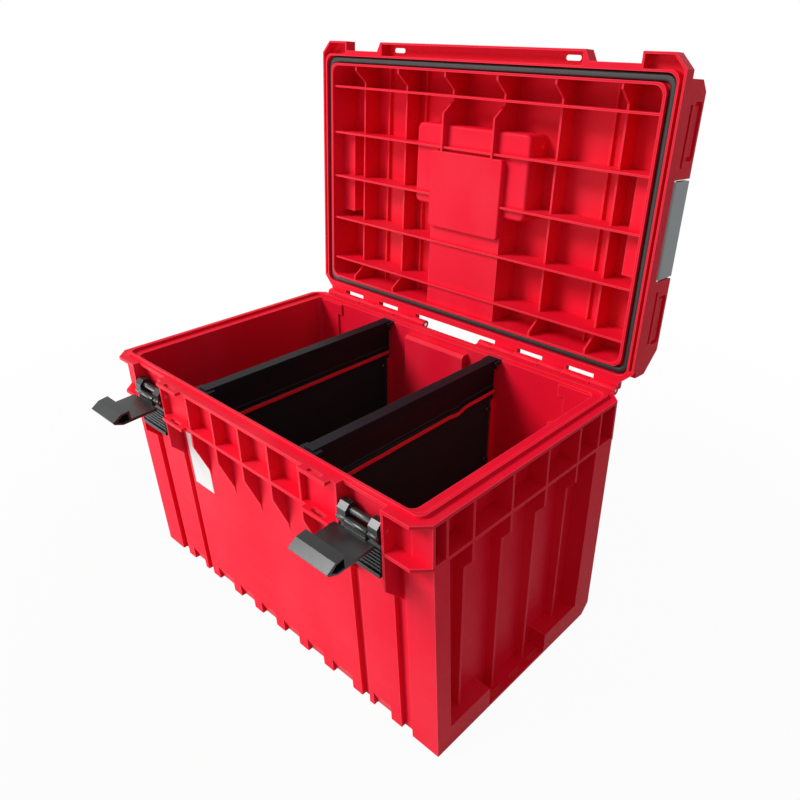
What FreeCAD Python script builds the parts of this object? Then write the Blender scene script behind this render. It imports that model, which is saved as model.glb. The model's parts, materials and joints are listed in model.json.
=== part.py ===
import FreeCAD
import Part
import Sketcher

import math
import os
import re

# Stacking tool case with its lid standing open, in millimetres.
# Width runs along X, depth along Y with the latches at -Y and the hinges at +Y, and Z is up.
# The origin is the middle of the face that the case stands on.

SIZES = [
    # Overall body
    ("case_w", 576, "width over the rim"),
    ("case_d", 359, "depth over the rim"),
    ("rim_z", 328, "top of the rim flange"),
    ("flange_t", 4, "thickness of the rim flange"),
    ("corner_cut", 15.5, "cut across the rim's corners"),
    ("side_depth", 25.5, "rim edge out to the side wall"),
    ("front_depth", 15.5, "rim edge out to the front and back walls"),
    ("draft", 9, "how far the front and back walls lean in at the base"),
    ("wall", 3.5, "wall of the tub"),
    ("floor_z", 10, "underside of the floor"),
    ("floor_t", 3.5, "thickness of the floor"),
    ("skirt", 10, "wall of the standing edge below the floor"),
    ("under_rib", 4, "thickness of the two ribs under the floor"),
    ("tub_round", 10, "inside corner radius of the tub"),
    # Rim lip and belt
    ("lip_out", 11.75, "lip centre outside the tub's side wall"),
    ("lip_fore", 1.75, "lip centre outside the front and back walls"),
    ("lip_t", 3.5, "thickness of the lip"),
    ("lip_h", 4, "height of the lip above the flange"),
    ("lip_round", 10, "corner radius of the lip"),
    ("belt_z", 278, "top of the belt below the rim"),
    ("belt_t", 4, "thickness of the belt"),
    ("rib_t", 3, "thickness of the outside ribs"),
    ("front_rib_pitch", 55, "spacing of the front and back ribs"),
    ("gusset_step", 22, "full-depth length of a gusset below the belt"),
    ("gusset_h", 64, "belt down to the foot of a gusset's slope"),
    ("gusset_toe", 1.5, "how far a gusset stands out at the foot of its slope"),
    ("gusset_tip", 28, "length of a gusset's tapering end below that"),
    # Side frames
    ("col_front", 22, "width of the front columns on the sides"),
    ("col_back", 36, "width of the rear columns on the sides"),
    ("side_rib_first", 60, "front wall to the first side rib"),
    ("side_rib_pitch", 63, "spacing of the side ribs"),
    ("side_rib_step", 24, "full-depth length of a side rib below the belt"),
    ("side_rib_slope", 14, "height of the step in a side rib"),
    ("side_rib_in", 11, "how far a side rib stands back below its step"),
    ("beam_h", 30, "height of the side frame's feet"),
    ("beam_low", 3, "height of the side frame between its feet"),
    ("beam_slot_l", 22, "length of a slot in the low side beam"),
    ("beam_slot_w", 5, "width of that slot"),
    ("beam_slot_d", 2.2, "depth of that slot"),
    ("beam_slot_in", 6.5, "rim side in to those slots"),
    ("beam_slot_y", -3, "middle of the case back to the middle slot"),
    ("beam_slot_pitch", 38, "spacing of those slots"),
    ("side_foot", 69, "length of the side frame's feet"),
    ("heel_cut", 13, "cut along the lower back edge"),
    # Front wall
    ("panel_groove", 13.5, "width of the groove between the front panel and a pilaster"),
    ("pilaster_w", 54, "width of the pilaster below each latch"),
    ("column_in", 40, "rim side to the inner edge of the front corner column"),
    ("groove", 6, "depth of the grooves beside the pilasters"),
    ("foot_w", 18, "width of a front foot"),
    ("foot_pitch", 50, "spacing of the front feet"),
    ("post_foot_x", 165, "middle of the case to the foot beside a pilaster"),
    ("post_foot_w", 38, "width of that foot"),
    ("column_foot", 213.5, "middle of the case to the corner column's foot"),
    ("notch_h", 22, "height of the notches between the front feet"),
    ("notch_d", 6.5, "depth of those notches at the base"),
    # Latch pockets and latches
    ("latch_inset", 84.5, "rim side to the middle of a latch"),
    ("pocket_w", 63, "width of a latch pocket"),
    ("pocket_wall", 3, "wall of a latch pocket"),
    ("pocket_d", 9.5, "depth of a latch pocket into the flange"),
    ("pocket_low", 229, "lower end of a pocket's walls at their front edge"),
    ("pocket_toe", 28, "slope at the lower end of a pocket's walls"),
    ("pivot_out", 10, "front wall to the lever pin"),
    ("pivot_z", 301.5, "height of the lever pin"),
    ("lever_pin_r", 2, "radius of the lever pin"),
    ("lever_w", 58, "width of a lever and its hook"),
    ("lever_barrel_r", 4.2, "radius of the lever's barrel between its ears"),
    ("ear_w", 13, "width of one ear"),
    ("ear_fore", 8.5, "lever pin out to an ear's front face"),
    ("ear_back", 7, "lever pin in to an ear's back"),
    ("ear_up", 8, "lever pin up to an ear's top"),
    ("ear_bevel", 6, "bevel at an ear's top"),
    ("ear_down", 14, "lever pin down to an ear's foot"),
    ("lever_fore", 4.5, "lever pin out to the lever plate's face"),
    ("lever_t", 5, "thickness of the lever plate"),
    ("lever_low", 244, "lower end of the lever"),
    ("lever_lip", 5, "height of the lever's lower lip"),
    ("lever_lip_out", 3, "how far the lever's lower lip stands out"),
    ("grip_pitch", 4.7, "spacing of the grip ribs"),
    ("grip_h", 2, "height of a grip rib"),
    ("grip_out", 1.5, "how far a grip rib stands out"),
    ("link_out", 7, "lever pin out to the hook pin"),
    ("link_down", 8.5, "lever pin down to the hook pin"),
    ("hook_pin_r", 1.8, "radius of the hook pin"),
    ("lug_r", 3.6, "radius of the lugs that hold the hook pin"),
    ("hook_barrel_r", 4.5, "radius of the hook's barrel"),
    ("hook_set", 6.5, "hook pin down to the middle of the hook plate"),
    ("hook_start", 5.5, "hook pin out to the hook plate"),
    ("hook_t", 4, "thickness of the hook plate"),
    ("hook_reach", 40, "hook pin to the catching face"),
    ("hook_rise", 7.4, "hook pin up to the hook bar's top"),
    ("hook_top", 12.5, "length of the hook bar's top"),
    ("hook_fall", 1.2, "drop of the hook bar's top towards its front"),
    ("hook_nose", 11, "length of the hook bar's sloping nose"),
    ("hook_tip", 0.7, "hook pin down to the nose's front edge"),
    ("hook_edge", 3, "height of the nose's front edge"),
    ("hook_chin", 12, "length of the slope under the nose"),
    ("hook_wall", 2.6, "wall of the hollow hook bar"),
    ("hook_drop", 3, "how far the open hook points below level, in degrees"),
    # Padlock tabs
    ("lock_x", 141, "middle of the case to a padlock slot"),
    ("lock_tab_w", 44, "width of a padlock tab"),
    ("lock_tab_out", 7, "how far a padlock tab stands out past the rim"),
    ("lock_slot_w", 22, "length of a padlock slot"),
    ("lock_slot_r", 3, "half the width of a padlock slot"),
    ("lock_slot_in", 1.5, "padlock slot out from the rim edge"),
    ("lock_panel_in", 8, "rim edge in to the panel behind the tabs"),
    # Hinge
    ("hinge_out", 10.5, "rim edge out to the hinge axis"),
    ("hinge_drop", 2, "flange top down to the hinge axis"),
    ("hinge_r", 6, "radius of the hinge knuckles"),
    ("hinge_pin_r", 2.5, "radius of the hinge pins"),
    ("hinge_in", 17, "rim side in to the end of the outer knuckle"),
    ("first_knuckle", 25, "length of the case's inner knuckle"),
    ("lid_knuckle_a", 38, "length of the lid's inner knuckle"),
    ("lid_knuckle_b", 37, "length of the lid's middle knuckle"),
    ("lid_knuckle_c", 35, "length of the lid's outer knuckle"),
    ("case_knuckle", 42, "length of a knuckle on the case"),
    ("knuckle_gap", 0.5, "side play between knuckles"),
    ("stop_x", 9, "lid's inner knuckle to the lid stop"),
    ("stop_w", 20, "width of a lid stop"),
    ("stop_reach", 18, "length of a lid stop"),
    ("stop_t", 8, "thickness of a lid stop"),
    ("stop_play", 0.4, "gap between a lid stop and the flange when open"),
    ("lid_open", 94.2, "angle of the open lid, in degrees"),
    # Lid
    ("lid_gap", 0.5, "gap between the lid and the flange"),
    ("lid_frame_h", 17.5, "height of the lid's frame"),
    ("lid_fore", 1.5, "rim's front edge back to the lid's frame"),
    ("lid_nose", 10.5, "how far the lid's front flange stands past the rim"),
    ("lid_side_in", 16, "rim side in to the lid's upper wall"),
    ("lid_fore_in", 11.5, "rim edge in to the lid's upper wall, front and back"),
    ("lid_deep", 50, "depth inside the lid above the rim"),
    ("lid_wall", 3, "wall of the lid"),
    ("lid_frame_in", 22, "rim side in to the lid's hollow"),
    ("lid_frame_back", 21.5, "rim edge in to the lid's hollow, front and back"),
    ("lid_round", 12, "corner radius of the lid's hollow"),
    ("lid_rib", 2.5, "thickness of the lid's ribs"),
    ("lid_rib_down", 4, "how far the cross ribs stop above the rim"),
    ("lid_rib_x", 86.6, "spacing of the ribs that run front to back"),
    ("lid_rib_y", 64.6, "spacing of the cross ribs"),
    ("lid_rib_up", 21, "how far the front-to-back ribs stop above the rim"),
    ("lid_rib_foot", 6, "full-height length at the ends of those ribs"),
    ("lid_rib_ramp", 15, "length of the ramp at the ends of those ribs"),
    ("lid_scallop", 14, "length of the dip in the two middle ribs"),
    ("lid_low_in", 115, "middle of the lid to its inner low ribs"),
    ("lid_low_out", 189, "middle of the lid to its outer low ribs"),
    ("lid_low_h", 5, "height of the low ribs"),
    ("lid_nose_wall", 2.5, "wall of the hollow front flange"),
    ("lid_ledge_h", 4.2, "height of the ledge that a hook catches"),
    ("lid_notch", 64, "width of the gap in the front flange for a hook"),
    ("lid_nose_slant", 6.5, "slant at the ends of the middle flange"),
    # Gasket
    ("gasket_w", 9.4, "width of the gasket"),
    ("gasket_h", 4.7, "height of the gasket"),
    ("gasket_play", 0.1, "gasket to the walls of its groove"),
    ("seal_gap", 0.3, "gasket above the lip when closed"),
    # Handle recess and handle
    ("well_w", 194, "width of the handle recess seen from inside"),
    ("well_fore", 93, "middle of the lid to the recess's front"),
    ("well_back", 15, "middle of the lid to the recess's back"),
    ("well_z", 11, "inside face of the recess above the rim"),
    ("well_round", 9, "corner radius of the recess"),
    ("well_ease", 4, "rounding around its inside face"),
    ("pad_w", 124, "width of the deep pad"),
    ("pad_fore", 59.5, "middle of the lid to the deep pad's front"),
    ("pad_back", 43.5, "middle of the lid to the deep pad's back"),
    ("pad_z", 2, "inside face of the deep pad above the rim"),
    ("pad_round", 5, "corner radius of the deep pad"),
    ("pad_ease", 2, "rounding around its inside face"),
    ("tray_z", 9, "inside face of the rear panel above the rim"),
    ("handle_pin_r", 3, "radius of a handle pin"),
    ("handle_pin_y", 78, "middle of the lid to the handle pins"),
    ("handle_pin_up", 38, "rim to the handle pins"),
    ("handle_pin_l", 12, "length of a handle pin"),
    ("handle_side", 1.5, "handle arms to the recess's sides"),
    ("handle_arm", 9.5, "width of a handle arm"),
    ("handle_arm_h", 16, "depth of a handle arm"),
    ("handle_grip", 22, "front-to-back size of the grip"),
    ("handle_reach", 84, "handle pins to the grip's far side"),
    # Side lugs and stacking locks
    ("lock_mid", -5, "middle of the lid back to the middle of a stacking lock"),
    ("lock_span", 116, "gap between the side lugs for a stacking lock"),
    ("lug_start", 13.5, "rim's front edge to the front side lugs"),
    ("lug_top", 57, "top of the side lugs above the rim"),
    ("lug_bevel", 12, "bevel at the front of the front side lugs"),
    ("lug_sunk", 4, "depth of the panel and the furrow in a side lug"),
    ("lug_panel_in", 19, "lug's inner end to its panel"),
    ("lug_panel_l", 62, "length of that panel"),
    ("lug_panel_up", 34, "rim to that panel"),
    ("lug_panel_h", 20, "height of that panel"),
    ("lug_panel_round", 5, "corner radius of that panel"),
    ("lug_island_in", 5, "border of the raised island in that panel"),
    ("lug_island_h", 2, "height of that island"),
    ("lug_furrow_in", 12, "lug's inner end to the furrow beside the frame"),
    ("lug_furrow_l", 66, "length of that furrow"),
    ("lug_furrow_up", 24.5, "rim to that furrow"),
    ("lug_furrow_h", 6, "height of that furrow"),
    ("lug_cut", 26, "cut at the back of the rear side lugs"),
    ("lock_bar_t", 7, "thickness of a stacking lock"),
    ("lock_bar_h", 36, "height of a stacking lock"),
    ("lock_bar_gap", 2.5, "stacking lock to the lugs at its ends"),
    ("lock_pin_r", 2.5, "radius of a stacking lock's pin"),
    ("lock_pin_up", 26, "rim to a stacking lock's pin"),
    ("lock_pin_in", 4, "rim side in to a stacking lock's pin"),
    ("lock_pin_seat", 8, "length of that pin in each lug"),
    ("lock_room", 24, "depth of the finger room behind a stacking lock"),
    ("lock_room_up", 26, "rim to the floor of that room"),
    ("stack_pad_h", 7, "height of the stacking pads on the lid"),
    ("stack_pad_w", 76, "width of a stacking pad"),
    ("stack_pad_d", 54, "depth of a stacking pad"),
    # Inside of the tub
    ("divider_x", 102.5, "middle of the case to a divider"),
    ("board_t", 3, "thickness of a divider board"),
    ("board_play", 1, "divider board to the walls at its ends"),
    ("guide_d", 6, "depth of a divider guide"),
    ("guide_t", 2.5, "thickness of a divider guide"),
    ("guide_play", 0.4, "divider board to a guide on each side"),
    ("guide_top", 60, "rim down to the top of the guides"),
    ("spare_guide_x", 203, "middle of the case to the spare guides"),
    ("nook_x", 217, "middle of the case to the raised nook in a rear corner"),
    ("nook_d", 3, "depth of that nook"),
    ("nook_top", 18, "rim down to the nook's wider top"),
    ("nook_more", 9, "how much further in that top reaches"),
    ("bulge_w", 110, "width of the raised panel on the back wall"),
    ("bulge_d", 12, "depth of that panel"),
    ("bulge_low", 50, "lower end of that panel"),
    ("bulge_top", 8, "rim down to the top of that panel"),
    ("bulge_bevel", 4, "bevel along the top of that panel"),
    ("bulge_wall", 3.5, "wall of that panel"),
    ("rail_w", 15, "width of a divider rail"),
    ("rail_h", 14, "height of a divider rail"),
    ("rail_up", 2, "divider rail above the rim"),
    ("rail_tab_w", 27, "width of the rail's front tab"),
    ("rail_tab_back", 24, "width of the rail's back tab"),
    ("rail_tab_l", 12, "length of a rail tab"),
    ("seat_d", 3.2, "depth of the seats for the rail tabs"),
    ("seat_play", 0.3, "rail tab to its seat"),
    ("rail_slot", 8.5, "depth of the slot that takes the board"),
    ("rail_fit", 0.05, "board to the rail's slot on each side"),
    ("pocket_t", 3, "thickness of the cloth pocket"),
    ("pocket_top", 47, "rim down to the top of the cloth pocket"),
    ("pocket_base", 40, "lower end of the cloth pocket"),
    ("pocket_edge", 6, "cloth pocket in from the board's ends"),
    ("binding_edge", 1, "binding in from the board's ends"),
    ("binding_w", 7.5, "width of the pocket's binding"),
    ("binding_t", 2, "thickness of the pocket's binding"),
    ("stud_r", 5, "radius of a pocket stud"),
    ("stud_t", 2, "thickness of a pocket stud's head"),
    ("stud_in", 14, "board's end in to the studs"),
    ("stud_up", 24, "pocket's top down to the upper stud"),
    ("stud_low", 104, "pocket's top down to the lower stud"),
    # Label
    ("label_w", 44.5, "width of the blank label"),
    ("label_h", 80, "height of the blank label"),
    ("label_t", 0.3, "thickness of the blank label"),
    ("label_gap", 12, "latch pocket's inner wall to the label's outer edge"),
    ("label_z", 170, "lower edge of the label"),
    # Fits
    ("run_fit", 0.05, "radial play of a turning fit"),
]

NAMES = {name for name, _, _ in SIZES}
SIDE_SLOTS = (-1, 0, 1)
SIDE_RIBS = 4
GRIP_RIBS = 6
AXIS_X = FreeCAD.Vector(1, 0, 0)
AXIS_Y = FreeCAD.Vector(0, 1, 0)
AXIS_Z = FreeCAD.Vector(0, 0, 1)

doc = FreeCAD.newDocument("ToolCase")
sheet = doc.addObject("Spreadsheet::Sheet", "Sizes")
for row, (alias, number, note) in enumerate(SIZES, start=1):
    sheet.set(f"A{row}", note)
    sheet.set(f"B{row}", str(number))
    sheet.setAlias(f"B{row}", alias)
doc.recompute()


# Helpers: every size is written as text over the names in the sheet.


def text(words):
    return re.sub(r"[a-z]\w*", lambda m: "Sizes." + m[0] if m[0] in NAMES else m[0], str(words))


def bind(part, prop, words):
    part.setExpression(prop, text(words))


def size(name):
    return float(sheet.get(name))


def box(name, x, y, z):
    part = doc.addObject("Part::Box", name)
    for prop, axis, (low, high) in zip(("Length", "Width", "Height"), "xyz", (x, y, z)):
        bind(part, prop, f"({high}) - ({low})")
        bind(part, f"Placement.Base.{axis}", low)
    return part


TURNS = {
    "x": FreeCAD.Rotation(AXIS_Y, 90),
    "y": FreeCAD.Rotation(AXIS_X, -90),
    "z": FreeCAD.Rotation(),
}


def rod(name, axis, place, radius, low, high):
    """A round bar along one axis; place gives its two other coordinates, in the order x, y, z."""
    part = doc.addObject("Part::Cylinder", name)
    part.Placement = FreeCAD.Placement(FreeCAD.Vector(), TURNS[axis])
    bind(part, "Radius", radius)
    bind(part, "Height", f"({high}) - ({low})")
    others = [letter for letter in "xyz" if letter != axis]
    bind(part, f"Placement.Base.{axis}", low)
    for letter, words in zip(others, place):
        bind(part, f"Placement.Base.{letter}", words)
    return part


PLANES = {
    "x": FreeCAD.Rotation(FreeCAD.Vector(1, 1, 1), 120),
    "y": FreeCAD.Rotation(AXIS_X, 90),
    "z": FreeCAD.Rotation(),
}
DIRECTIONS = {"x": AXIS_X, "y": AXIS_Y, "z": AXIS_Z}


def prism(name, axis, points, low, high):
    """A profile of straight sides, drawn square to one axis and drawn out along it."""
    sketch = doc.addObject("Sketcher::SketchObject", name + "Profile")
    count = len(points)
    start = [2 * math.pi * i / count for i in range(count)]
    corners = [FreeCAD.Vector(100 * math.cos(a), 100 * math.sin(a), 0) for a in start]
    for i in range(count):
        sketch.addGeometry(Part.LineSegment(corners[i], corners[(i + 1) % count]))
    for i in range(count):
        sketch.addConstraint(Sketcher.Constraint("Coincident", i, 2, (i + 1) % count, 1))
    for i, (across, up) in enumerate(points):
        for letter, kind, words, now in (
            ("u", "DistanceX", across, corners[i].x),
            ("v", "DistanceY", up, corners[i].y),
        ):
            place = sketch.addConstraint(Sketcher.Constraint(kind, -1, 1, i, 1, now))
            sketch.renameConstraint(place, f"{letter}{i}")
            bind(sketch, f"Constraints.{letter}{i}", words)
    sketch.Placement = FreeCAD.Placement(FreeCAD.Vector(), PLANES[axis])
    bind(sketch, f"Placement.Base.{axis}", low)
    part = doc.addObject("Part::Extrusion", name)
    part.Base = sketch
    part.DirMode = "Custom"
    part.Dir = DIRECTIONS[axis]
    part.Solid = True
    bind(part, "LengthFwd", f"({high}) - ({low})")
    return part


def fuse(name, parts):
    part = doc.addObject("Part::MultiFuse", name)
    part.Shapes = parts
    part.Refine = True
    return part


def cut(name, base, tools):
    part = doc.addObject("Part::Cut", name)
    part.Base = base
    part.Tool = tools[0] if len(tools) == 1 else fuse(name + "Tools", tools)
    part.Refine = True
    return part


def mirror(name, source):
    part = doc.addObject("Part::Mirroring", name)
    part.Source = source
    part.Normal = AXIS_X
    return part


def rounded(name, base, direction, radius):
    """The same solid with its edges along one direction rounded."""
    doc.recompute()
    part = doc.addObject("Part::Fillet", name)
    part.Base = base
    edges = []
    for number, edge in enumerate(base.Shape.Edges, start=1):
        if len(edge.Vertexes) == 2:
            run = (edge.Vertexes[1].Point - edge.Vertexes[0].Point).normalize()
            if abs(run.dot(direction)) > 0.99:
                edges.append((number, size(radius), size(radius)))
    part.Edges = edges
    return part


def eased(name, base, radius):
    """The same solid with the edges of its lowest face rounded."""
    doc.recompute()
    part = doc.addObject("Part::Fillet", name)
    part.Base = base
    edges = []
    for number, edge in enumerate(base.Shape.Edges, start=1):
        if all(abs(vertex.Z - base.Shape.BoundBox.ZMin) < 1e-6 for vertex in edge.Vertexes):
            edges.append((number, size(radius), size(radius)))
    part.Edges = edges
    return part


def slab(name, half_x, half_y, radius, z):
    block = box(name + "Block", (f"-({half_x})", half_x), (f"-({half_y})", half_y), z)
    return rounded(name, block, AXIS_Z, radius)


# Places that several pieces share.

SIDE = "case_w / 2"
EDGE = "case_d / 2"
TUB_X = "(case_w / 2 - side_depth)"
TUB_Y = "(case_d / 2 - front_depth)"
FLOOR_TOP = "(floor_z + floor_t)"
BELT_LOW = "(belt_z - belt_t)"
LATCH_X = "(case_w / 2 - latch_inset)"
PIVOT_Y = f"(-{TUB_Y} - pivot_out)"
LINK_Y = f"({PIVOT_Y} - link_out)"
LINK_Z = "(pivot_z - link_down)"
HINGE_Y = "(case_d / 2 + hinge_out)"
HINGE_Z = "(rim_z - hinge_drop)"
LID_Z = "(rim_z + lid_gap)"
LID_TOP = "(rim_z + lid_deep)"
LID_ROOF = "(rim_z + lid_deep + lid_wall)"
LID_X = "(case_w / 2 - lid_frame_in)"
LID_Y = "(case_d / 2 - lid_frame_back)"
LIP_X = f"({TUB_X} + lip_out)"
LIP_Y = f"({TUB_Y} + lip_fore)"


def wall_y(z, out):
    """Distance from the middle to the sloping front or back wall at a height, plus an offset."""
    return f"({TUB_Y} - draft * (1 - ({z}) / rim_z) + ({out}))"


def strip(name, end, x, z, inner, outer):
    """A strip that follows the sloping wall at the front (end "-") or the back (end "")."""
    low, high = z
    points = [
        (end + wall_y(low, inner), low),
        (end + wall_y(low, outer), low),
        (end + wall_y(high, outer), high),
        (end + wall_y(high, inner), high),
    ]
    return prism(name, "x", points, *x)


def rim_plate(name, front, back, z):
    """A plate of the rim's outline, with its four corners cut."""
    points = [
        (f"-{SIDE} + corner_cut", f"-({front})"),
        (f"{SIDE} - corner_cut", f"-({front})"),
        (SIDE, f"-({front}) + corner_cut"),
        (SIDE, f"({back}) - corner_cut"),
        (f"{SIDE} - corner_cut", back),
        (f"-{SIDE} + corner_cut", back),
        (f"-{SIDE}", f"({back}) - corner_cut"),
        (f"-{SIDE}", f"-({front}) + corner_cut"),
    ]
    return prism(name, "z", points, *z)


# Case shell: a drafted tub in a ribbed outer frame, with a flange and a belt round its top.

tub_points = [
    (f"-{wall_y('0', '0')}", "0"),
    (wall_y("0", "0"), "0"),
    (wall_y("rim_z", "0"), "rim_z"),
    (f"-{wall_y('rim_z', '0')}", "rim_z"),
]
tub = prism("Tub", "x", tub_points, f"-{TUB_X}", TUB_X)
flange = rim_plate("Flange", EDGE, EDGE, ("rim_z - flange_t", "rim_z"))
belt = rim_plate("Belt", EDGE, EDGE, (BELT_LOW, "belt_z"))
lip_z = ("rim_z - flange_t / 2", "rim_z + lip_h")
lip_ring = cut(
    "LipRing",
    slab("LipOuter", f"{LIP_X} + lip_t / 2", f"{LIP_Y} + lip_t / 2", "lip_round", lip_z),
    [
        slab(
            "LipInner",
            f"{LIP_X} - lip_t / 2",
            f"{LIP_Y} - lip_t / 2",
            "lip_round",
            ("rim_z", "rim_z + 2 * lip_h"),
        )
    ],
)

# Everything on the right-hand half that the left-hand half repeats.
half = []

# Side frame: a column at each end, and two feet with a low beam between them.
column_points = [
    (f"-{wall_y('0', '0')}", "0"),
    (f"-{wall_y('0', '-col_front')}", "0"),
    (f"-{wall_y('belt_z', '-col_front')}", BELT_LOW),
    (f"-{wall_y('belt_z', '0')}", BELT_LOW),
]
half.append(prism("FrontColumn", "x", column_points, f"{TUB_X} - wall / 2", SIDE))
column_points = [
    (wall_y("0", "-col_back"), "0"),
    (wall_y("0", "0"), "0"),
    (wall_y("belt_z", "0"), BELT_LOW),
    (wall_y("belt_z", "-col_back"), BELT_LOW),
]
half.append(prism("BackColumn", "x", column_points, f"{TUB_X} - wall / 2", SIDE))
side_x = (f"{TUB_X} - wall / 2", SIDE)
front_end = f"-{wall_y('0', '-col_front / 2')}"
back_end = wall_y("0", "-col_back / 2")
front_foot = (front_end, f"{front_end} + side_foot + col_front / 2")
back_foot = (f"{back_end} - side_foot - col_back / 2", back_end)
half.append(box("FrontFoot", side_x, front_foot, ("0", "beam_h")))
half.append(box("BackFoot", side_x, back_foot, ("0", "beam_h")))
half.append(box("LowBeam", side_x, (front_end, back_end), ("0", "beam_low")))

# Side ribs: thin webs from belt to flange, and stepped webs down the recessed side.
for number in range(SIDE_RIBS):
    middle = f"(-{TUB_Y} + side_rib_first + {number} * side_rib_pitch)"
    rib_y = (f"{middle} - rib_t / 2", f"{middle} + rib_t / 2")
    half.append(box(f"RimRib{number}", side_x, rib_y, ("belt_z - belt_t / 2", "rim_z - flange_t / 2")))
    rib_points = [
        (f"{TUB_X} - wall / 2", "belt_z - belt_t / 2"),
        (SIDE, "belt_z - belt_t / 2"),
        (SIDE, f"{BELT_LOW} - side_rib_step"),
        (f"{SIDE} - side_rib_in", f"{BELT_LOW} - side_rib_step - side_rib_slope"),
        (f"{SIDE} - side_rib_in - rib_t", "beam_low / 2"),
        (f"{TUB_X} - wall / 2", "beam_low / 2"),
    ]
    half.append(prism(f"SideRib{number}", "y", rib_points, *rib_y))
for name, inner in (("Front", f"-{TUB_Y} + col_front"), ("Back", f"{TUB_Y} - col_back")):
    rib_y = (f"{inner} - rib_t", inner) if name == "Front" else (inner, f"{inner} + rib_t")
    half.append(box(f"{name}PostRib", side_x, rib_y, ("belt_z - belt_t / 2", "rim_z - flange_t / 2")))
corner_z = ("belt_z - belt_t / 2", "rim_z - flange_t / 2")
half.append(box("FrontCornerPlate", side_x, (f"-{TUB_Y}", f"-{TUB_Y} + wall"), corner_z))
half.append(box("BackCornerPlate", side_x, (f"{TUB_Y} - wall", TUB_Y), corner_z))

# Front and back ribs between belt and flange, and the gussets below the front ones.
for number in (1, 2):
    middle = f"{number} * front_rib_pitch"
    rib_x = (f"{middle} - rib_t / 2", f"{middle} + rib_t / 2")
    half.append(box(f"FrontRib{number}", rib_x, (f"-{EDGE} + rib_t / 4", f"-{TUB_Y} + wall / 2"), corner_z))
    gusset_end = f"{BELT_LOW} - gusset_h - gusset_tip"
    gusset = [
        (f"-{TUB_Y} + wall / 2", BELT_LOW),
        (f"-{EDGE} + rib_t / 4", BELT_LOW),
        (f"-{EDGE} + rib_t / 4", f"{BELT_LOW} - gusset_step"),
        (f"-{wall_y(BELT_LOW + ' - gusset_h', 'gusset_toe')}", f"{BELT_LOW} - gusset_h"),
        (f"-{wall_y(gusset_end, '-wall / 2')}", gusset_end),
    ]
    half.append(prism(f"Gusset{number}", "x", gusset, *rib_x))
for number in (1, 2, 3, 4):
    middle = f"{number} * front_rib_pitch"
    rib_x = (f"{middle} - rib_t / 2", f"{middle} + rib_t / 2")
    half.append(box(f"BackRib{number}", rib_x, (f"{TUB_Y} - wall / 2", f"{EDGE} - rib_t / 4"), corner_z))

# Latch pocket: two walls that carry the lever pin.
pocket_root = "-groove - wall / 2"
pocket_points = [
    (f"-{wall_y('rim_z - flange_t / 2', '-wall / 2')}", "rim_z - flange_t / 2"),
    (f"-{EDGE}", "rim_z - flange_t / 2"),
    (f"-{EDGE}", "pocket_low"),
    (f"-{wall_y('pocket_low - pocket_toe', pocket_root)}", "pocket_low - pocket_toe"),
    (f"-{wall_y(BELT_LOW, pocket_root)}", BELT_LOW),
    (f"-{wall_y(BELT_LOW, '-wall / 2')}", BELT_LOW),
]
inner_wall = (f"{LATCH_X} - pocket_w / 2 - pocket_wall", f"{LATCH_X} - pocket_w / 2")
outer_wall = (f"{LATCH_X} + pocket_w / 2", f"{LATCH_X} + pocket_w / 2 + pocket_wall")
pocket_walls = [
    prism("PocketInnerWall", "x", pocket_points, *inner_wall),
    prism("PocketOuterWall", "x", pocket_points, *outer_wall),
]

# Padlock tabs on the flange and the belt, with a closed panel between them.
tab_x = ("lock_x - lock_tab_w / 2", "lock_x + lock_tab_w / 2")
tab_y = (f"-{EDGE} - lock_tab_out", f"-{EDGE} + flange_t")
half.append(box("UpperTab", tab_x, tab_y, ("rim_z - flange_t", "rim_z")))
half.append(box("LowerTab", tab_x, tab_y, (BELT_LOW, "belt_z")))
panel_y = (f"-{EDGE} + lock_panel_in", f"-{EDGE} + lock_panel_in + rib_t")
half.append(box("LockPanel", ("2 * front_rib_pitch", inner_wall[1]), panel_y, corner_z))

# Knuckles on the case, each on a web behind the flange.
HINGE_END = f"({SIDE} - hinge_in)"
LID_START = f"({HINGE_END} - lid_knuckle_a - lid_knuckle_b - lid_knuckle_c - 2 * case_knuckle)"
HINGE_START = f"({LID_START} - first_knuckle)"
KNUCKLES = [
    (HINGE_START, "first_knuckle"),
    (f"({LID_START} + lid_knuckle_a)", "case_knuckle"),
    (f"({LID_START} + lid_knuckle_a + case_knuckle + lid_knuckle_b)", "case_knuckle"),
]
for number, (start, length) in enumerate(KNUCKLES):
    span = (f"{start} + knuckle_gap", f"{start} + {length} - knuckle_gap")
    web_y = (f"{EDGE} - front_depth / 2", HINGE_Y)
    half.append(box(f"CaseWeb{number}", span, web_y, (f"{HINGE_Z} - hinge_r", "rim_z")))
    half.append(rod(f"CaseKnuckle{number}", "x", (HINGE_Y, HINGE_Z), "hinge_r", *span))

right_half = fuse("RightHalf", half)
left_half = mirror("LeftHalf", right_half)
mid_rib_x = ("-rib_t / 2", "rib_t / 2")
mid_front = box("MidFrontRib", mid_rib_x, (f"-{EDGE} + rib_t / 4", f"-{TUB_Y} + wall / 2"), corner_z)
mid_back = box("MidBackRib", mid_rib_x, (f"{TUB_Y} - wall / 2", f"{EDGE} - rib_t / 4"), corner_z)
mid_gusset = prism("MidGusset", "x", gusset, *mid_rib_x)
mid_ribs = [mid_front, mid_back, mid_gusset]
outside = fuse("Outside", [tub, flange, belt, lip_ring, right_half, left_half] + mid_ribs)

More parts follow.
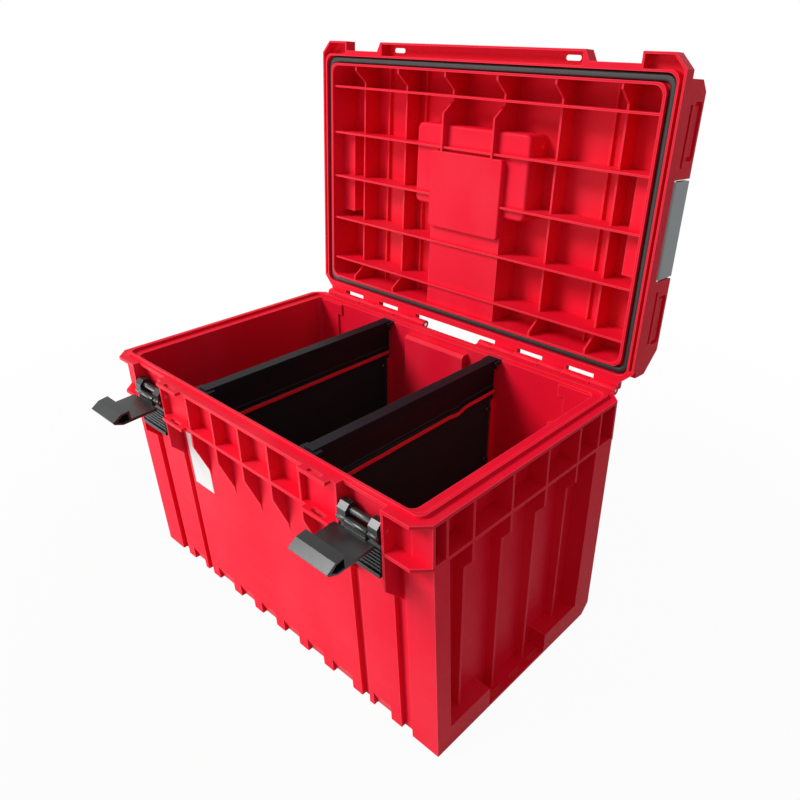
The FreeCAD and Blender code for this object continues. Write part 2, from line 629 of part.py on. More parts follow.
# The hollow of the tub and the space under its floor.
hollow_points = [
    (f"-{wall_y(FLOOR_TOP, '-wall')}", FLOOR_TOP),
    (wall_y(FLOOR_TOP, "-wall"), FLOOR_TOP),
    (wall_y("rim_z + 2 * lip_h", "-wall"), "rim_z + 2 * lip_h"),
    (f"-{wall_y('rim_z + 2 * lip_h', '-wall')}", "rim_z + 2 * lip_h"),
]
hollow = rounded(
    "Hollow",
    prism("HollowBlock", "x", hollow_points, f"-{TUB_X} + wall", f"{TUB_X} - wall"),
    AXIS_Z,
    "tub_round",
)
under = box(
    "Underside",
    (f"-{TUB_X} + skirt", f"{TUB_X} - skirt"),
    (f"-{TUB_Y} + draft + skirt", f"{TUB_Y} - draft - skirt"),
    ("-floor_z", "floor_z"),
)
open_tub = cut("OpenTub", outside, [hollow, under])

# Inside the tub: divider guides, ridges behind the front grooves, and the raised panel at the back.
inside = []
guide_z = (f"{FLOOR_TOP} - floor_t / 2", "rim_z - guide_top")
for label, place in (("Guide", "divider_x"), ("Spare", "spare_guide_x")):
    for hand, offset in (("In", "-"), ("Out", "+")):
        near = f"{place} {offset} (board_t / 2 + guide_play)"
        far = f"{place} {offset} (board_t / 2 + guide_play + guide_t)"
        guide_x = (near, far) if offset == "+" else (far, near)
        for end, sign in (("Front", "-"), ("Back", "")):
            name = f"{label}{hand}{end}"
            inside.append(strip(name, sign, guide_x, guide_z, "-wall - guide_d", "-wall / 2"))
grooves = [
    (f"{LATCH_X} - pilaster_w / 2 - panel_groove", f"{LATCH_X} - pilaster_w / 2"),
    (f"{LATCH_X} + pilaster_w / 2", f"{SIDE} - column_in"),
]
for number, (low, high) in enumerate(grooves):
    ridge_x = (f"{low} - wall", f"{high} + wall")
    ridge_z = (f"{FLOOR_TOP} - floor_t / 2", BELT_LOW)
    inside.append(strip(f"Ridge{number}", "-", ridge_x, ridge_z, "-wall - groove", "-wall / 2"))
nook_end = f"{TUB_X} - wall / 2"
nook_step = "rim_z - nook_top"
for name, start, span in (
    ("NookTop", "nook_x - nook_more", (nook_step, "rim_z - flange_t / 2")),
    ("NookLow", "nook_x", (f"{FLOOR_TOP} - floor_t / 2", nook_step)),
):
    inside.append(strip(name, "", (start, nook_end), span, "-wall - nook_d", "-wall / 2"))
right_inside = fuse("RightInside", inside)
left_inside = mirror("LeftInside", right_inside)
bulge_z = ("bulge_low", "rim_z - bulge_top")
bulge_points = [
    (wall_y(bulge_z[0], "-wall - bulge_d"), bulge_z[0]),
    (wall_y(bulge_z[0], "-wall / 2"), bulge_z[0]),
    (wall_y(bulge_z[1], "-wall / 2"), bulge_z[1]),
    (wall_y(bulge_z[1], "-wall - bulge_d + bulge_bevel"), bulge_z[1]),
    (wall_y(f"{bulge_z[1]} - bulge_bevel", "-wall - bulge_d"), f"{bulge_z[1]} - bulge_bevel"),
]
bulge = prism("Bulge", "x", bulge_points, "-bulge_w / 2", "bulge_w / 2")
under_z = ("0", "floor_z + floor_t / 2")
under_x = f"{TUB_X} - skirt / 2"
under_long = box("UnderLong", (f"-({under_x})", under_x), ("-under_rib / 2", "under_rib / 2"), under_z)
under_y = f"{TUB_Y} - draft - skirt / 2"
under_cross = box("UnderCross", ("-under_rib / 2", "under_rib / 2"), (f"-({under_y})", under_y), under_z)
fitted_tub = fuse("FittedTub", [open_tub, right_inside, left_inside, bulge, under_long, under_cross])

# Cuts: latch pockets, grooves, padlock slots, tab seats, pin bores and the lower back edge.
cuts = []
pocket_x = (f"{LATCH_X} - pocket_w / 2", f"{LATCH_X} + pocket_w / 2")
pocket_y = (f"-{EDGE} - lock_tab_out", f"-{EDGE} + pocket_d")
cuts.append(box("PocketSpace", pocket_x, pocket_y, (f"{BELT_LOW} - belt_t", "rim_z + lip_h")))
groove_cuts = []
for number, span in enumerate(grooves):
    groove_cuts.append(strip(f"Groove{number}", "-", span, ("-floor_z", BELT_LOW), "-groove", "wall"))
right_grooves = fuse("RightGrooves", groove_cuts)
grooved_tub = cut("GroovedTub", fitted_tub, [right_grooves, mirror("LeftGrooves", right_grooves)])
right_pocket = fuse("RightPocket", pocket_walls)
walled_tub = fuse("WalledTub", [grooved_tub, right_pocket, mirror("LeftPocket", right_pocket)])
slot_y = f"(-{EDGE} - lock_slot_in)"
for hand, offset in (("In", "-"), ("Out", "+")):
    slot_x = f"lock_x {offset} (lock_slot_w / 2 - lock_slot_r)"
    slot_end = rod(
        f"LockSlotEnd{hand}", "z", (slot_x, slot_y), "lock_slot_r", f"{BELT_LOW} - belt_t", "rim_z + belt_t"
    )
    cuts.append(slot_end)
cuts.append(
    box(
        "LockSlot",
        ("lock_x - lock_slot_w / 2 + lock_slot_r", "lock_x + lock_slot_w / 2 - lock_slot_r"),
        (f"{slot_y} - lock_slot_r", f"{slot_y} + lock_slot_r"),
        (f"{BELT_LOW} - belt_t", "rim_z + belt_t"),
    )
)
seat_z = ("rim_z - flange_t", "rim_z + lip_h")
for name, width, sign in (("Front", "rail_tab_w", "-"), ("Back", "rail_tab_back", "")):
    seat_x = (f"divider_x - {width} / 2 - seat_play", f"divider_x + {width} / 2 + seat_play")
    near, far = f"{TUB_Y} - 2 * wall", f"{TUB_Y} - wall + seat_d"
    seat_y = (near, far) if sign == "" else (f"-({far})", f"-({near})")
    cuts.append(box(f"{name}Seat", seat_x, seat_y, seat_z))
bore_x = (f"{inner_wall[0]} - pocket_wall", f"{outer_wall[1]} + pocket_wall")
cuts.append(rod("LeverBore", "x", (PIVOT_Y, "pivot_z"), "lever_pin_r", *bore_x))
cuts.append(rod("HingeBore", "x", (HINGE_Y, HINGE_Z), "hinge_pin_r", HINGE_START, HINGE_END))

# Wedge notches between the front feet, and slots sunk in the low beams at the sides.
notch_points = [
    (f"-{wall_y('notch_h', '0')}", "notch_h"),
    (f"-{wall_y('0', '-notch_d')}", "0"),
    (f"-{wall_y('0', '-notch_d')}", "-notch_d"),
    (f"-{wall_y('0', 'notch_d')}", "-notch_d"),
    (f"-{wall_y('notch_h', 'notch_d')}", "notch_h"),
]
notches = [
    ("foot_w / 2", "foot_pitch - foot_w / 2"),
    ("foot_pitch + foot_w / 2", "2 * foot_pitch - foot_w / 2"),
    ("2 * foot_pitch + foot_w / 2", "post_foot_x - post_foot_w / 2"),
    ("post_foot_x + post_foot_w / 2", "column_foot"),
]
for number, span in enumerate(notches):
    cuts.append(prism(f"Notch{number}", "x", notch_points, *span))
for number, step in enumerate(SIDE_SLOTS):
    middle = f"(beam_slot_y + {step} * beam_slot_pitch)"
    slot_x = (f"{SIDE} - beam_slot_in - beam_slot_w / 2", f"{SIDE} - beam_slot_in + beam_slot_w / 2")
    slot_span = (f"{middle} - beam_slot_l / 2", f"{middle} + beam_slot_l / 2")
    cuts.append(box(f"BeamSlot{number}", slot_x, slot_span, ("beam_low - beam_slot_d", "2 * beam_low")))

# Hollows inside the corner columns.
COLUMN_TOP = f"({BELT_LOW} - wall)"
column_x = (f"{TUB_X} + wall / 2", f"{SIDE} - wall")
for name, sign, width in (("Front", "-", "col_front"), ("Back", "", "col_back")):
    room = [
        (sign + wall_y("0", "-wall"), "-floor_z"),
        (sign + wall_y("0", f"-{width} + wall"), "-floor_z"),
        (sign + wall_y(COLUMN_TOP, f"-{width} + wall"), COLUMN_TOP),
        (sign + wall_y(COLUMN_TOP, "-wall"), COLUMN_TOP),
    ]
    cuts.append(prism(f"{name}ColumnRoom", "x", room, *column_x))
right_cuts = fuse("RightCuts", cuts)
left_cuts = mirror("LeftCuts", right_cuts)
heel_points = [
    (f"{wall_y('0', '0')} - heel_cut", "-heel_cut"),
    (f"{wall_y('0', '0')} - heel_cut", "0"),
    (wall_y("0", "0"), "heel_cut"),
    (f"{wall_y('0', '0')} + heel_cut", "heel_cut"),
    (f"{wall_y('0', '0')} + heel_cut", "-heel_cut"),
]
heel = prism("HeelCut", "x", heel_points, f"-{SIDE} - rib_t", f"{SIDE} + rib_t")
recess_x = ("-bulge_w / 2 + bulge_wall", "bulge_w / 2 - bulge_wall")
recess_z = ("bulge_low + bulge_wall", "rim_z - bulge_top - bulge_bevel - bulge_wall")
recess = strip("BackRecess", "", recess_x, recess_z, "-wall - bulge_d + bulge_wall", "-wall / 4")
recess_mouth = strip("BackMouth", "", recess_x, ("bulge_low + bulge_wall", BELT_LOW), "-wall", "wall")
case_shell = cut("CaseShell", walled_tub, [right_cuts, left_cuts, heel, recess, recess_mouth])

# Lid, drawn closed on the case; it is swung open about the hinge axis at the end.

lid_front = f"{EDGE} - lid_fore"
frame_z = (LID_Z, "rim_z + lid_frame_h")
lid_frame = rim_plate("LidFrame", lid_front, EDGE, frame_z)
lid_dome = box(
    "LidDome",
    (f"-{SIDE} + lid_side_in", f"{SIDE} - lid_side_in"),
    (f"-{EDGE} + lid_fore_in", f"{EDGE} - lid_fore_in"),
    ("rim_z + lid_frame_h / 2", LID_ROOF),
)
lid_dome = rounded("LidDomeRound", lid_dome, AXIS_Z, "lid_round")
nose_y = f"-{EDGE} - lid_nose"
nose_root = f"-{EDGE} + lid_fore_in"
lid_half = []
corner_in = f"{LATCH_X} + lid_notch / 2"
corner_points = [
    (corner_in, nose_root),
    (corner_in, nose_y),
    (f"{SIDE} - corner_cut", nose_y),
    (SIDE, f"{nose_y} + corner_cut"),
    (SIDE, f"-{EDGE} + lid_fore + corner_cut"),
    (f"{SIDE} - corner_cut", f"-{EDGE} + lid_fore + corner_cut"),
]
corner_nose = prism("LidCornerNose", "z", corner_points, *frame_z)
lid_half.append(corner_nose)

# Side lugs, each with a sunk panel and a furrow in its outer face.
lug_z = ("rim_z + lid_frame_h / 2", "rim_z + lug_top")
lug_x = (f"{SIDE} - lid_side_in - lid_wall / 2", SIDE)
FRONT_LUG = (f"(-{EDGE} + lug_start)", "(lock_mid - lock_span / 2)")
BACK_LUG = ("(lock_mid + lock_span / 2)", f"({EDGE} - lid_fore_in + lid_wall)")
front_points = [
    (FRONT_LUG[0], lug_z[0]),
    (FRONT_LUG[1], lug_z[0]),
    (FRONT_LUG[1], lug_z[1]),
    (f"{FRONT_LUG[0]} + lug_bevel", lug_z[1]),
    (FRONT_LUG[0], f"{lug_z[1]} - lug_bevel"),
]
front_lug = prism("FrontLug", "x", front_points, *lug_x)
back_points = [
    (BACK_LUG[0], lug_z[0]),
    (BACK_LUG[1], lug_z[0]),
    (BACK_LUG[1], f"{lug_z[1]} - lug_cut"),
    (f"{BACK_LUG[1]} - lug_cut", lug_z[1]),
    (BACK_LUG[0], lug_z[1]),
]
back_lug = prism("BackLug", "x", back_points, *lug_x)
sunk_x = (f"{SIDE} - lug_sunk", f"{SIDE} + lug_sunk")
island_x = (f"{SIDE} - 2 * lug_sunk", f"{SIDE} - lug_sunk + lug_island_h")
panel_z = ("rim_z + lug_panel_up", "rim_z + lug_panel_up + lug_panel_h")
island_z = (f"{panel_z[0]} + lug_island_in", f"{panel_z[1]} - lug_island_in")
furrow_z = ("rim_z + lug_furrow_up", "rim_z + lug_furrow_up + lug_furrow_h")
for name, solid, inner, sign in (
    ("Front", front_lug, FRONT_LUG[1], "-"),
    ("Back", back_lug, BACK_LUG[0], "+"),
):
    spans = []
    for start, length, border in (
        ("lug_panel_in", "lug_panel_l", "0"),
        ("lug_panel_in", "lug_panel_l", "lug_island_in"),
        ("lug_furrow_in", "lug_furrow_l", "0"),
    ):
        near = f"{inner} {sign} ({start} + {border})"
        far = f"{inner} {sign} ({start} + {length} - {border})"
        spans.append((far, near) if sign == "-" else (near, far))
    panel_box = box(f"{name}LugPanelBox", sunk_x, spans[0], panel_z)
    panel = rounded(f"{name}LugPanel", panel_box, AXIS_X, "lug_panel_round")
    island = box(f"{name}LugIsland", island_x, spans[1], island_z)
    furrow = box(f"{name}LugFurrow", sunk_x, spans[2], furrow_z)
    tools = [cut(f"{name}LugSunk", panel, [island]), furrow]
    lid_half.append(cut(f"{name}LugShell", solid, tools))

# Stacking pads on the lid's corners.
pad_x = (f"{SIDE} - lid_side_in - lid_wall - stack_pad_w", f"{SIDE} - lid_side_in - lid_wall")
pad_z = (f"{LID_ROOF} - lid_wall / 2", f"{LID_ROOF} + stack_pad_h")
for name, sign in (("Front", "-"), ("Back", "")):
    near = f"{EDGE} - lid_fore_in - lid_wall - stack_pad_d"
    far = f"{EDGE} - lid_fore_in - lid_wall"
    pad_y = (near, far) if sign == "" else (f"-({far})", f"-({near})")
    lid_half.append(box(f"{name}StackPad", pad_x, pad_y, pad_z))

# Hinge arms and knuckles on the lid, and the stop that meets the flange when the lid is open.
LID_KNUCKLES = [
    (LID_START, "lid_knuckle_a"),
    (f"({LID_START} + lid_knuckle_a + case_knuckle)", "lid_knuckle_b"),
    (f"({LID_START} + lid_knuckle_a + lid_knuckle_b + 2 * case_knuckle)", "lid_knuckle_c"),
]
for number, (start, length) in enumerate(LID_KNUCKLES):
    span = (start, f"{start} + {length}")
    arm_y = (f"{EDGE} - lid_wall", HINGE_Y)
    lid_half.append(box(f"LidArm{number}", span, arm_y, (LID_Z, f"{HINGE_Z} + 2 * hinge_r")))
    lid_half.append(rod(f"LidKnuckle{number}", "x", (HINGE_Y, HINGE_Z), "hinge_r", *span))
past = "(lid_open - 90)"
stop_drop = f"(flange_t - hinge_drop + stop_play + stop_reach * sin{past})"
stop_face = f"({HINGE_Y} + {stop_drop} / cos{past})"
stop_y = (stop_face, f"{stop_face} + stop_t")
stop_span = (f"{LID_START} + stop_x", f"{LID_START} + stop_x + stop_w")
lid_half.append(box("LidStop", stop_span, stop_y, (f"{HINGE_Z} - stop_reach", f"{HINGE_Z} + hinge_r / 2")))

lid_right = fuse("LidRight", lid_half)
lid_left = mirror("LidLeft", lid_right)

# Middle of the front flange, hollow underneath like its corners.
mid_end = f"{LATCH_X} - lid_notch / 2"
mid_points = [
    (f"-({mid_end})", nose_root),
    (f"-({mid_end})", f"-{EDGE} + lid_fore"),
    (f"-({mid_end}) + lid_nose_slant", nose_y),
    (f"{mid_end} - lid_nose_slant", nose_y),
    (mid_end, f"-{EDGE} + lid_fore"),
    (mid_end, nose_root),
]
mid_nose = prism("LidMidNose", "z", mid_points, *frame_z)
lid_body = fuse("LidBody", [lid_frame, lid_dome, lid_right, lid_left, mid_nose])

# The hollow of the lid and the groove for the gasket.
lid_hollow = slab("LidHollow", LID_X, LID_Y, "lid_round", ("rim_z - lid_gap", LID_TOP))
GROOVE_TOP = "(rim_z + lip_h + seal_gap + gasket_h)"
groove_out = "gasket_w / 2 + gasket_play"
groove_z = ("rim_z - lid_gap", GROOVE_TOP)
groove_ring = cut(
    "GrooveRing",
    slab("GrooveOuter", f"{LIP_X} + {groove_out}", f"{LIP_Y} + {groove_out}", "lid_round", groove_z),
    [
        slab(
            "GrooveInner",
            f"{LIP_X} - ({groove_out})",
            f"{LIP_Y} - ({groove_out})",
            "lid_round",
            ("0", "2 * rim_z"),
        )
    ],
)

# Channels under the front flange and down the sides, outside the wall round the gasket.
seal_wall = f"{groove_out} + lid_nose_wall"
channel_z = ("rim_z - lid_gap", "rim_z + lid_frame_h - lid_nose_wall")
channel_out = f"{SIDE} - lid_nose_wall"
channel_points = [
    (f"{corner_in} + lid_nose_wall", f"-{LIP_Y}"),
    (f"{corner_in} + lid_nose_wall", f"{nose_y} + lid_nose_wall"),
    (f"{SIDE} - corner_cut - lid_nose_wall / 2", f"{nose_y} + lid_nose_wall"),
    (channel_out, f"{nose_y} + corner_cut + lid_nose_wall / 2"),
    (channel_out, f"{EDGE} - corner_cut - lid_nose_wall"),
    (LIP_X, f"{EDGE} - corner_cut - lid_nose_wall"),
    (LIP_X, f"-{LIP_Y}"),
]
mid_channel = box(
    "MidChannel",
    (f"-({mid_end}) + lid_nose_slant + lid_nose_wall", f"{mid_end} - lid_nose_slant - lid_nose_wall"),
    (f"{nose_y} + lid_nose_wall", f"-{LIP_Y}"),
    channel_z,
)
side_channel = prism("SideChannel", "z", channel_points, *channel_z)
channels = fuse("ChannelBlocks", [side_channel, mirror("SideChannelLeft", side_channel), mid_channel])
seal_block = slab(
    "SealBlock", f"{LIP_X} + {seal_wall}", f"{LIP_Y} + {seal_wall}", "lid_round", ("0", "2 * rim_z")
)
channel_room = cut("ChannelRoom", channels, [seal_block])

# Room for the hooks above their ledges, and for fingers behind the stacking locks.
hook_room = box(
    "HookRoom",
    (f"{LATCH_X} - lid_notch / 2", f"{LATCH_X} + lid_notch / 2"),
    (f"{nose_y} - lid_wall", f"-{LIP_Y} - ({seal_wall})"),
    (f"{LID_Z} + lid_ledge_h", f"{LID_ROOF} + lid_wall"),
)
hook_rooms = fuse("HookRooms", [hook_room, mirror("HookRoomLeft", hook_room)])
lid_open_shell = cut("LidOpenShell", lid_body, [lid_hollow, groove_ring, channel_room, hook_rooms])

# Ribs inside the lid: five across, and six from front to back.
ribs = []
for number in (-2, -1, 0, 1, 2):
    middle = f"{number} * lid_rib_y"
    rib_y = (f"{middle} - lid_rib / 2", f"{middle} + lid_rib / 2")
    rib_x = (f"-{LID_X} - lid_wall / 4", f"{LID_X} + lid_wall / 4")
    rib_z = ("rim_z + lid_rib_down", f"{LID_TOP} + lid_wall / 2")
    ribs.append(box(f"LidCrossRib{number + 2}", rib_x, rib_y, rib_z))
low_z = "rim_z + lid_rib_down / 2"
high_z = "rim_z + lid_rib_up"
end_y = f"({LID_Y} + lid_wall / 4)"
foot_y = f"({LID_Y} - lid_rib_foot)"
ramp_y = f"({LID_Y} - lid_rib_foot - lid_rib_ramp)"
long_points = [
    (f"-{end_y}", f"{LID_TOP} + lid_wall / 2"),
    (f"-{end_y}", low_z),
    (f"-{foot_y}", low_z),
    (f"-{ramp_y}", high_z),
    (ramp_y, high_z),
    (foot_y, low_z),
    (end_y, low_z),
    (end_y, f"{LID_TOP} + lid_wall / 2"),
]
dip_y = f"({ramp_y} - lid_scallop)"
rise_y = f"({ramp_y} - lid_scallop - lid_rib_ramp)"
short_points = [
    (f"-{end_y}", f"{LID_TOP} + lid_wall / 2"),
    (f"-{end_y}", low_z),
    (f"-{foot_y}", low_z),
    (f"-{ramp_y}", high_z),
    (f"-{dip_y}", high_z),
    (f"-{rise_y}", low_z),
    ("-pad_fore + lid_wall", low_z),
    ("-pad_fore + lid_wall", f"{LID_TOP} + lid_wall / 2"),
]
for number in (-2.5, -1.5, -0.5, 0.5, 1.5, 2.5):
    middle = f"{number} * lid_rib_x"
    points = short_points if abs(number) < 1 else long_points
    name = f"LidLongRib{round(number + 2.5)}"
    ribs.append(prism(name, "x", points, f"{middle} - lid_rib / 2", f"{middle} + lid_rib / 2"))

for number, middle in enumerate(("lid_low_in", "lid_low_out", "-lid_low_in", "-lid_low_out")):
    rib_x = (f"{middle} - lid_rib / 2", f"{middle} + lid_rib / 2")
    rib_z = (f"{LID_TOP} - lid_low_h", f"{LID_TOP} + lid_wall / 2")
    ribs.append(box(f"LidLowRib{number}", rib_x, (f"-{end_y}", end_y), rib_z))

# The handle recess bulges into the lid: a wide step, a deep pad and a rear panel.
bulge_top = f"{LID_TOP} + lid_wall / 2"
well = box("Well", ("-well_w / 2", "well_w / 2"), ("-well_fore", "well_back"), ("rim_z + well_z", bulge_top))
well = rounded("WellRound", well, AXIS_Z, "well_round")
ribs.append(eased("WellEase", well, "well_ease"))
pad = box("Pad", ("-pad_w / 2", "pad_w / 2"), ("-pad_fore", "pad_back"), ("rim_z + pad_z", bulge_top))
pad = rounded("PadRound", pad, AXIS_Z, "pad_round")
ribs.append(eased("PadEase", pad, "pad_ease"))
tray_x = ("-pad_w / 2", "pad_w / 2")
ribs.append(box("Tray", tray_x, ("pad_back - lid_wall", end_y), ("rim_z + tray_z", bulge_top)))
room_y = (f"{FRONT_LUG[1]} + lock_bar_gap", f"{BACK_LUG[0]} - lock_bar_gap")
room_in = f"{LID_X} + lid_wall / 2 - lock_room"
lock_block = box(
    "LockBlock",
    (f"{room_in} - lid_wall", f"{LID_X} + lid_wall / 2"),
    (f"{room_y[0]} - lid_wall", f"{room_y[1]} + lid_wall"),
    ("rim_z + lock_room_up - lid_wall", bulge_top),
)
ribs += [lock_block, mirror("LockBlockLeft", lock_block)]
ribbed_lid = fuse("RibbedLid", [lid_open_shell] + ribs)

well_hollow = box(
    "WellHollow",
    ("-well_w / 2 + lid_wall", "well_w / 2 - lid_wall"),
    ("-well_fore + lid_wall", "well_back - lid_wall"),
    ("rim_z + well_z + lid_wall", f"{LID_ROOF} + lid_wall"),
)
lid_cuts = [rounded("WellHollowRound", well_hollow, AXIS_Z, "lid_wall")]
lid_cuts.append(
    box(
        "PadHollow",
        ("-pad_w / 2 + lid_wall", "pad_w / 2 - lid_wall"),
        ("-pad_fore + lid_wall", "pad_back - lid_wall"),
        ("rim_z + pad_z + lid_wall", f"{LID_ROOF} + lid_wall"),
    )
)
lid_cuts.append(
    box(
        "TrayHollow",
        ("-pad_w / 2 + lid_wall", "pad_w / 2 - lid_wall"),
        ("pad_back - 2 * lid_wall", f"{LID_Y} - lid_wall"),
        ("rim_z + tray_z + lid_wall", f"{LID_ROOF} + lid_wall"),
    )
)
HANDLE_Y = "(-handle_pin_y)"
HANDLE_Z = "(rim_z + handle_pin_up)"
WELL_SIDE = "(well_w / 2 - lid_wall)"
PIN_END = f"({WELL_SIDE} + lid_wall * 0.8)"
LOCK_X = f"({SIDE} - lock_pin_in)"
LOCK_Z = "(rim_z + lock_pin_up)"
LOCK_ENDS = (f"({FRONT_LUG[1]} - lock_pin_seat)", f"({BACK_LUG[0]} + lock_pin_seat)")
lid_slot_x = ("lock_x - lock_slot_w / 2 + lock_slot_r", "lock_x + lock_slot_w / 2 - lock_slot_r")
pair_cuts = [
    rod("HandleBore", "x", (HANDLE_Y, HANDLE_Z), "handle_pin_r", f"{WELL_SIDE} - lid_wall", PIN_END),
    rod("LockBore", "y", (LOCK_X, LOCK_Z), "lock_pin_r", *LOCK_ENDS),
    box("LockRoom", (room_in, SIDE), room_y, ("rim_z + lock_room_up", f"{LID_ROOF} + lid_wall")),
    rod(
        "LidHingeBore",
        "x",
        (HINGE_Y, HINGE_Z),
        "hinge_pin_r + run_fit",
        f"{HINGE_START} - hinge_r",
        f"{HINGE_END} + hinge_r",
    ),
    rod("LidSlotIn", "z", (lid_slot_x[0], slot_y), "lock_slot_r", "rim_z", LID_TOP),
    rod("LidSlotOut", "z", (lid_slot_x[1], slot_y), "lock_slot_r", "rim_z", LID_TOP),
    box(
        "LidSlot",
        lid_slot_x,
        (f"{slot_y} - lock_slot_r", f"{slot_y} + lock_slot_r"),
        ("rim_z", LID_TOP),
    ),
]
pair_right = fuse("LidCutsRight", pair_cuts)
pair_left = mirror("LidCutsLeft", pair_right)
lid_shell = cut("LidShell", ribbed_lid, lid_cuts + [pair_right, pair_left])

# Gasket in its groove under the lid.
gasket_z = ("rim_z + lip_h + seal_gap", GROOVE_TOP)
lid_gasket = cut(
    "LidGasket",
    slab("GasketOuter", f"{LIP_X} + gasket_w / 2", f"{LIP_Y} + gasket_w / 2", "lid_round", gasket_z),
    [
        slab(
            "GasketInner",
            f"{LIP_X} - gasket_w / 2",
            f"{LIP_Y} - gasket_w / 2",
            "lid_round",
            ("0", "2 * rim_z"),
        )
    ],
)

# Hinge pins, fast in the case's knuckles.
hinge_pin_right = rod(
    "HingePinRight",
    "x",
    (HINGE_Y, HINGE_Z),
    "hinge_pin_r",
    f"{HINGE_START} + knuckle_gap",
    f"{HINGE_END} - knuckle_gap",
)
hinge_pin_left = mirror("HingePinLeft", hinge_pin_right)

# Latch lever: two bevelled ears and a barrel on the lever pin, lugs for the hook pin, and a ribbed grip.
lever_in = f"{LATCH_X} - lever_w / 2"
lever_out = f"{LATCH_X} + lever_w / 2"
web_top = f"({LINK_Z} - hook_set - hook_t / 2 - 2 * knuckle_gap)"
plate_y = (f"{PIVOT_Y} - lever_fore", f"{PIVOT_Y} - lever_fore + lever_t")
ear_points = [
    (f"{PIVOT_Y} - ear_fore", "pivot_z + ear_up - ear_bevel"),
    (f"{PIVOT_Y} - ear_fore + ear_bevel", "pivot_z + ear_up"),
    (f"{PIVOT_Y} + ear_back - ear_bevel / 2", "pivot_z + ear_up"),
    (f"{PIVOT_Y} + ear_back", "pivot_z + ear_up - ear_bevel"),
    (f"{PIVOT_Y} + ear_back", "pivot_z - ear_bevel"),
    (plate_y[1], "pivot_z - ear_down"),
    (plate_y[1], f"{web_top} - lever_t"),
    (plate_y[0], f"{web_top} - lever_t"),
    (plate_y[0], f"{web_top}"),
    (f"{PIVOT_Y} - ear_fore", "pivot_z - ear_down"),
]
lever_parts = []
for name, low, high in (
    ("In", lever_in, f"{lever_in} + ear_w"),
    ("Out", f"{lever_out} - ear_w", lever_out),
):
    lever_parts.append(prism(f"Ear{name}", "x", ear_points, low, high))
    lever_parts.append(rod(f"Lug{name}", "x", (LINK_Y, LINK_Z), "lug_r", low, high))
lever_parts.append(box("LeverPlate", (lever_in, lever_out), plate_y, ("lever_low", web_top)))
lever_parts.append(rod("LeverBarrel", "x", (PIVOT_Y, "pivot_z"), "lever_barrel_r", lever_in, lever_out))
lip_y = (f"{plate_y[0]} - lever_lip_out", plate_y[1])
lever_parts.append(box("LeverLip", (lever_in, lever_out), lip_y, ("lever_low", "lever_low + lever_lip")))
for number in range(GRIP_RIBS):
    grip_z = f"lever_low + lever_lip + grip_pitch * {number + 0.6}"
    grip_y = (f"{plate_y[0]} - grip_out", f"{plate_y[0]} + grip_out")
    grip_span = (grip_z, f"{grip_z} + grip_h")
    lever_parts.append(box(f"GripRib{number}", (lever_in, lever_out), grip_y, grip_span))
past_ends = (f"{lever_in} - ear_w", f"{lever_out} + ear_w")
lever_right = cut(
    "LeverRight",
    fuse("LeverSolid", lever_parts),
    [
        rod("LeverPinHole", "x", (PIVOT_Y, "pivot_z"), "lever_pin_r + run_fit", *past_ends),
        rod("HookPinHole", "x", (LINK_Y, LINK_Z), "hook_pin_r", *past_ends),
    ],
)
lever_left = mirror("LeverLeft", lever_right)
lever_pin_right = rod("LeverPinRight", "x", (PIVOT_Y, "pivot_z"), "lever_pin_r", inner_wall[0], outer_wall[1])
lever_pin_left = mirror("LeverPinLeft", lever_pin_right)
hook_pin_right = rod("HookPinRight", "x", (LINK_Y, LINK_Z), "hook_pin_r", lever_in, lever_out)
hook_pin_left = mirror("HookPinLeft", hook_pin_right)

# Latch hook: a plate below the hook pin that ends in a hollow bar, drawn level and then tipped down.
hook_half = "lever_w / 2"
neck = "(lever_w / 2 - ear_w - knuckle_gap)"
plate_low = "(-hook_set - hook_t / 2)"
plate_high = "(-hook_set + hook_t / 2)"
ridge_y = "(-hook_reach - hook_top)"
tip_y = "(-hook_reach - hook_top - hook_nose)"
neck_points = [
    ("hook_barrel_r", "0"),
    ("-hook_barrel_r", "0"),
    ("-hook_barrel_r", plate_high),
    ("-hook_start - hook_t", plate_high),
    ("-hook_start - hook_t", plate_low),
    ("hook_t / 2", plate_low),
]
bar_points = [
    ("-hook_reach", plate_low),
    ("-hook_reach", "hook_rise"),
    (ridge_y, "hook_rise - hook_fall"),
    (tip_y, "-hook_tip"),
    (f"{tip_y} + hook_edge / 2", "-hook_tip - hook_edge"),
    (f"{tip_y} + hook_chin", plate_low),
]
bar_hole = [
    ("-hook_reach - hook_wall", f"{plate_low} + hook_wall"),
    ("-hook_reach - hook_wall", "hook_rise - hook_wall"),
    (f"{ridge_y} + hook_wall / 2", "hook_rise - hook_fall - hook_wall"),
    (f"{tip_y} + 2 * hook_wall", "-hook_tip - hook_wall / 2"),
    (f"{tip_y} + hook_chin", f"{plate_low} + hook_wall"),
]
hook_solid = fuse(
    "HookSolid",
    [
        rod("HookBarrel", "x", ("0", "0"), "hook_barrel_r", f"-{neck}", neck),
        prism("HookNeck", "x", neck_points, f"-{neck}", neck),
        box(
            "HookPlate",
            (f"-{hook_half}", hook_half),
            ("-hook_reach - hook_wall / 2", "-hook_start"),
            (plate_low, plate_high),
        ),
        prism("HookBar", "x", bar_points, f"-{hook_half}", hook_half),
    ],
)
hook_right = cut(
    "HookRight",
    hook_solid,
    [
        rod("HookBore", "x", ("0", "0"), "hook_pin_r + run_fit", "-lever_w", "lever_w"),
        prism("HookBarHole", "x", bar_hole, "-lever_w", "lever_w"),
    ],
)
hook_right.Placement = FreeCAD.Placement(FreeCAD.Vector(), FreeCAD.Rotation(AXIS_X, 1))
bind(hook_right, "Placement.Rotation.Angle", "hook_drop")
bind(hook_right, "Placement.Base.x", LATCH_X)
bind(hook_right, "Placement.Base.y", LINK_Y)
bind(hook_right, "Placement.Base.z", LINK_Z)
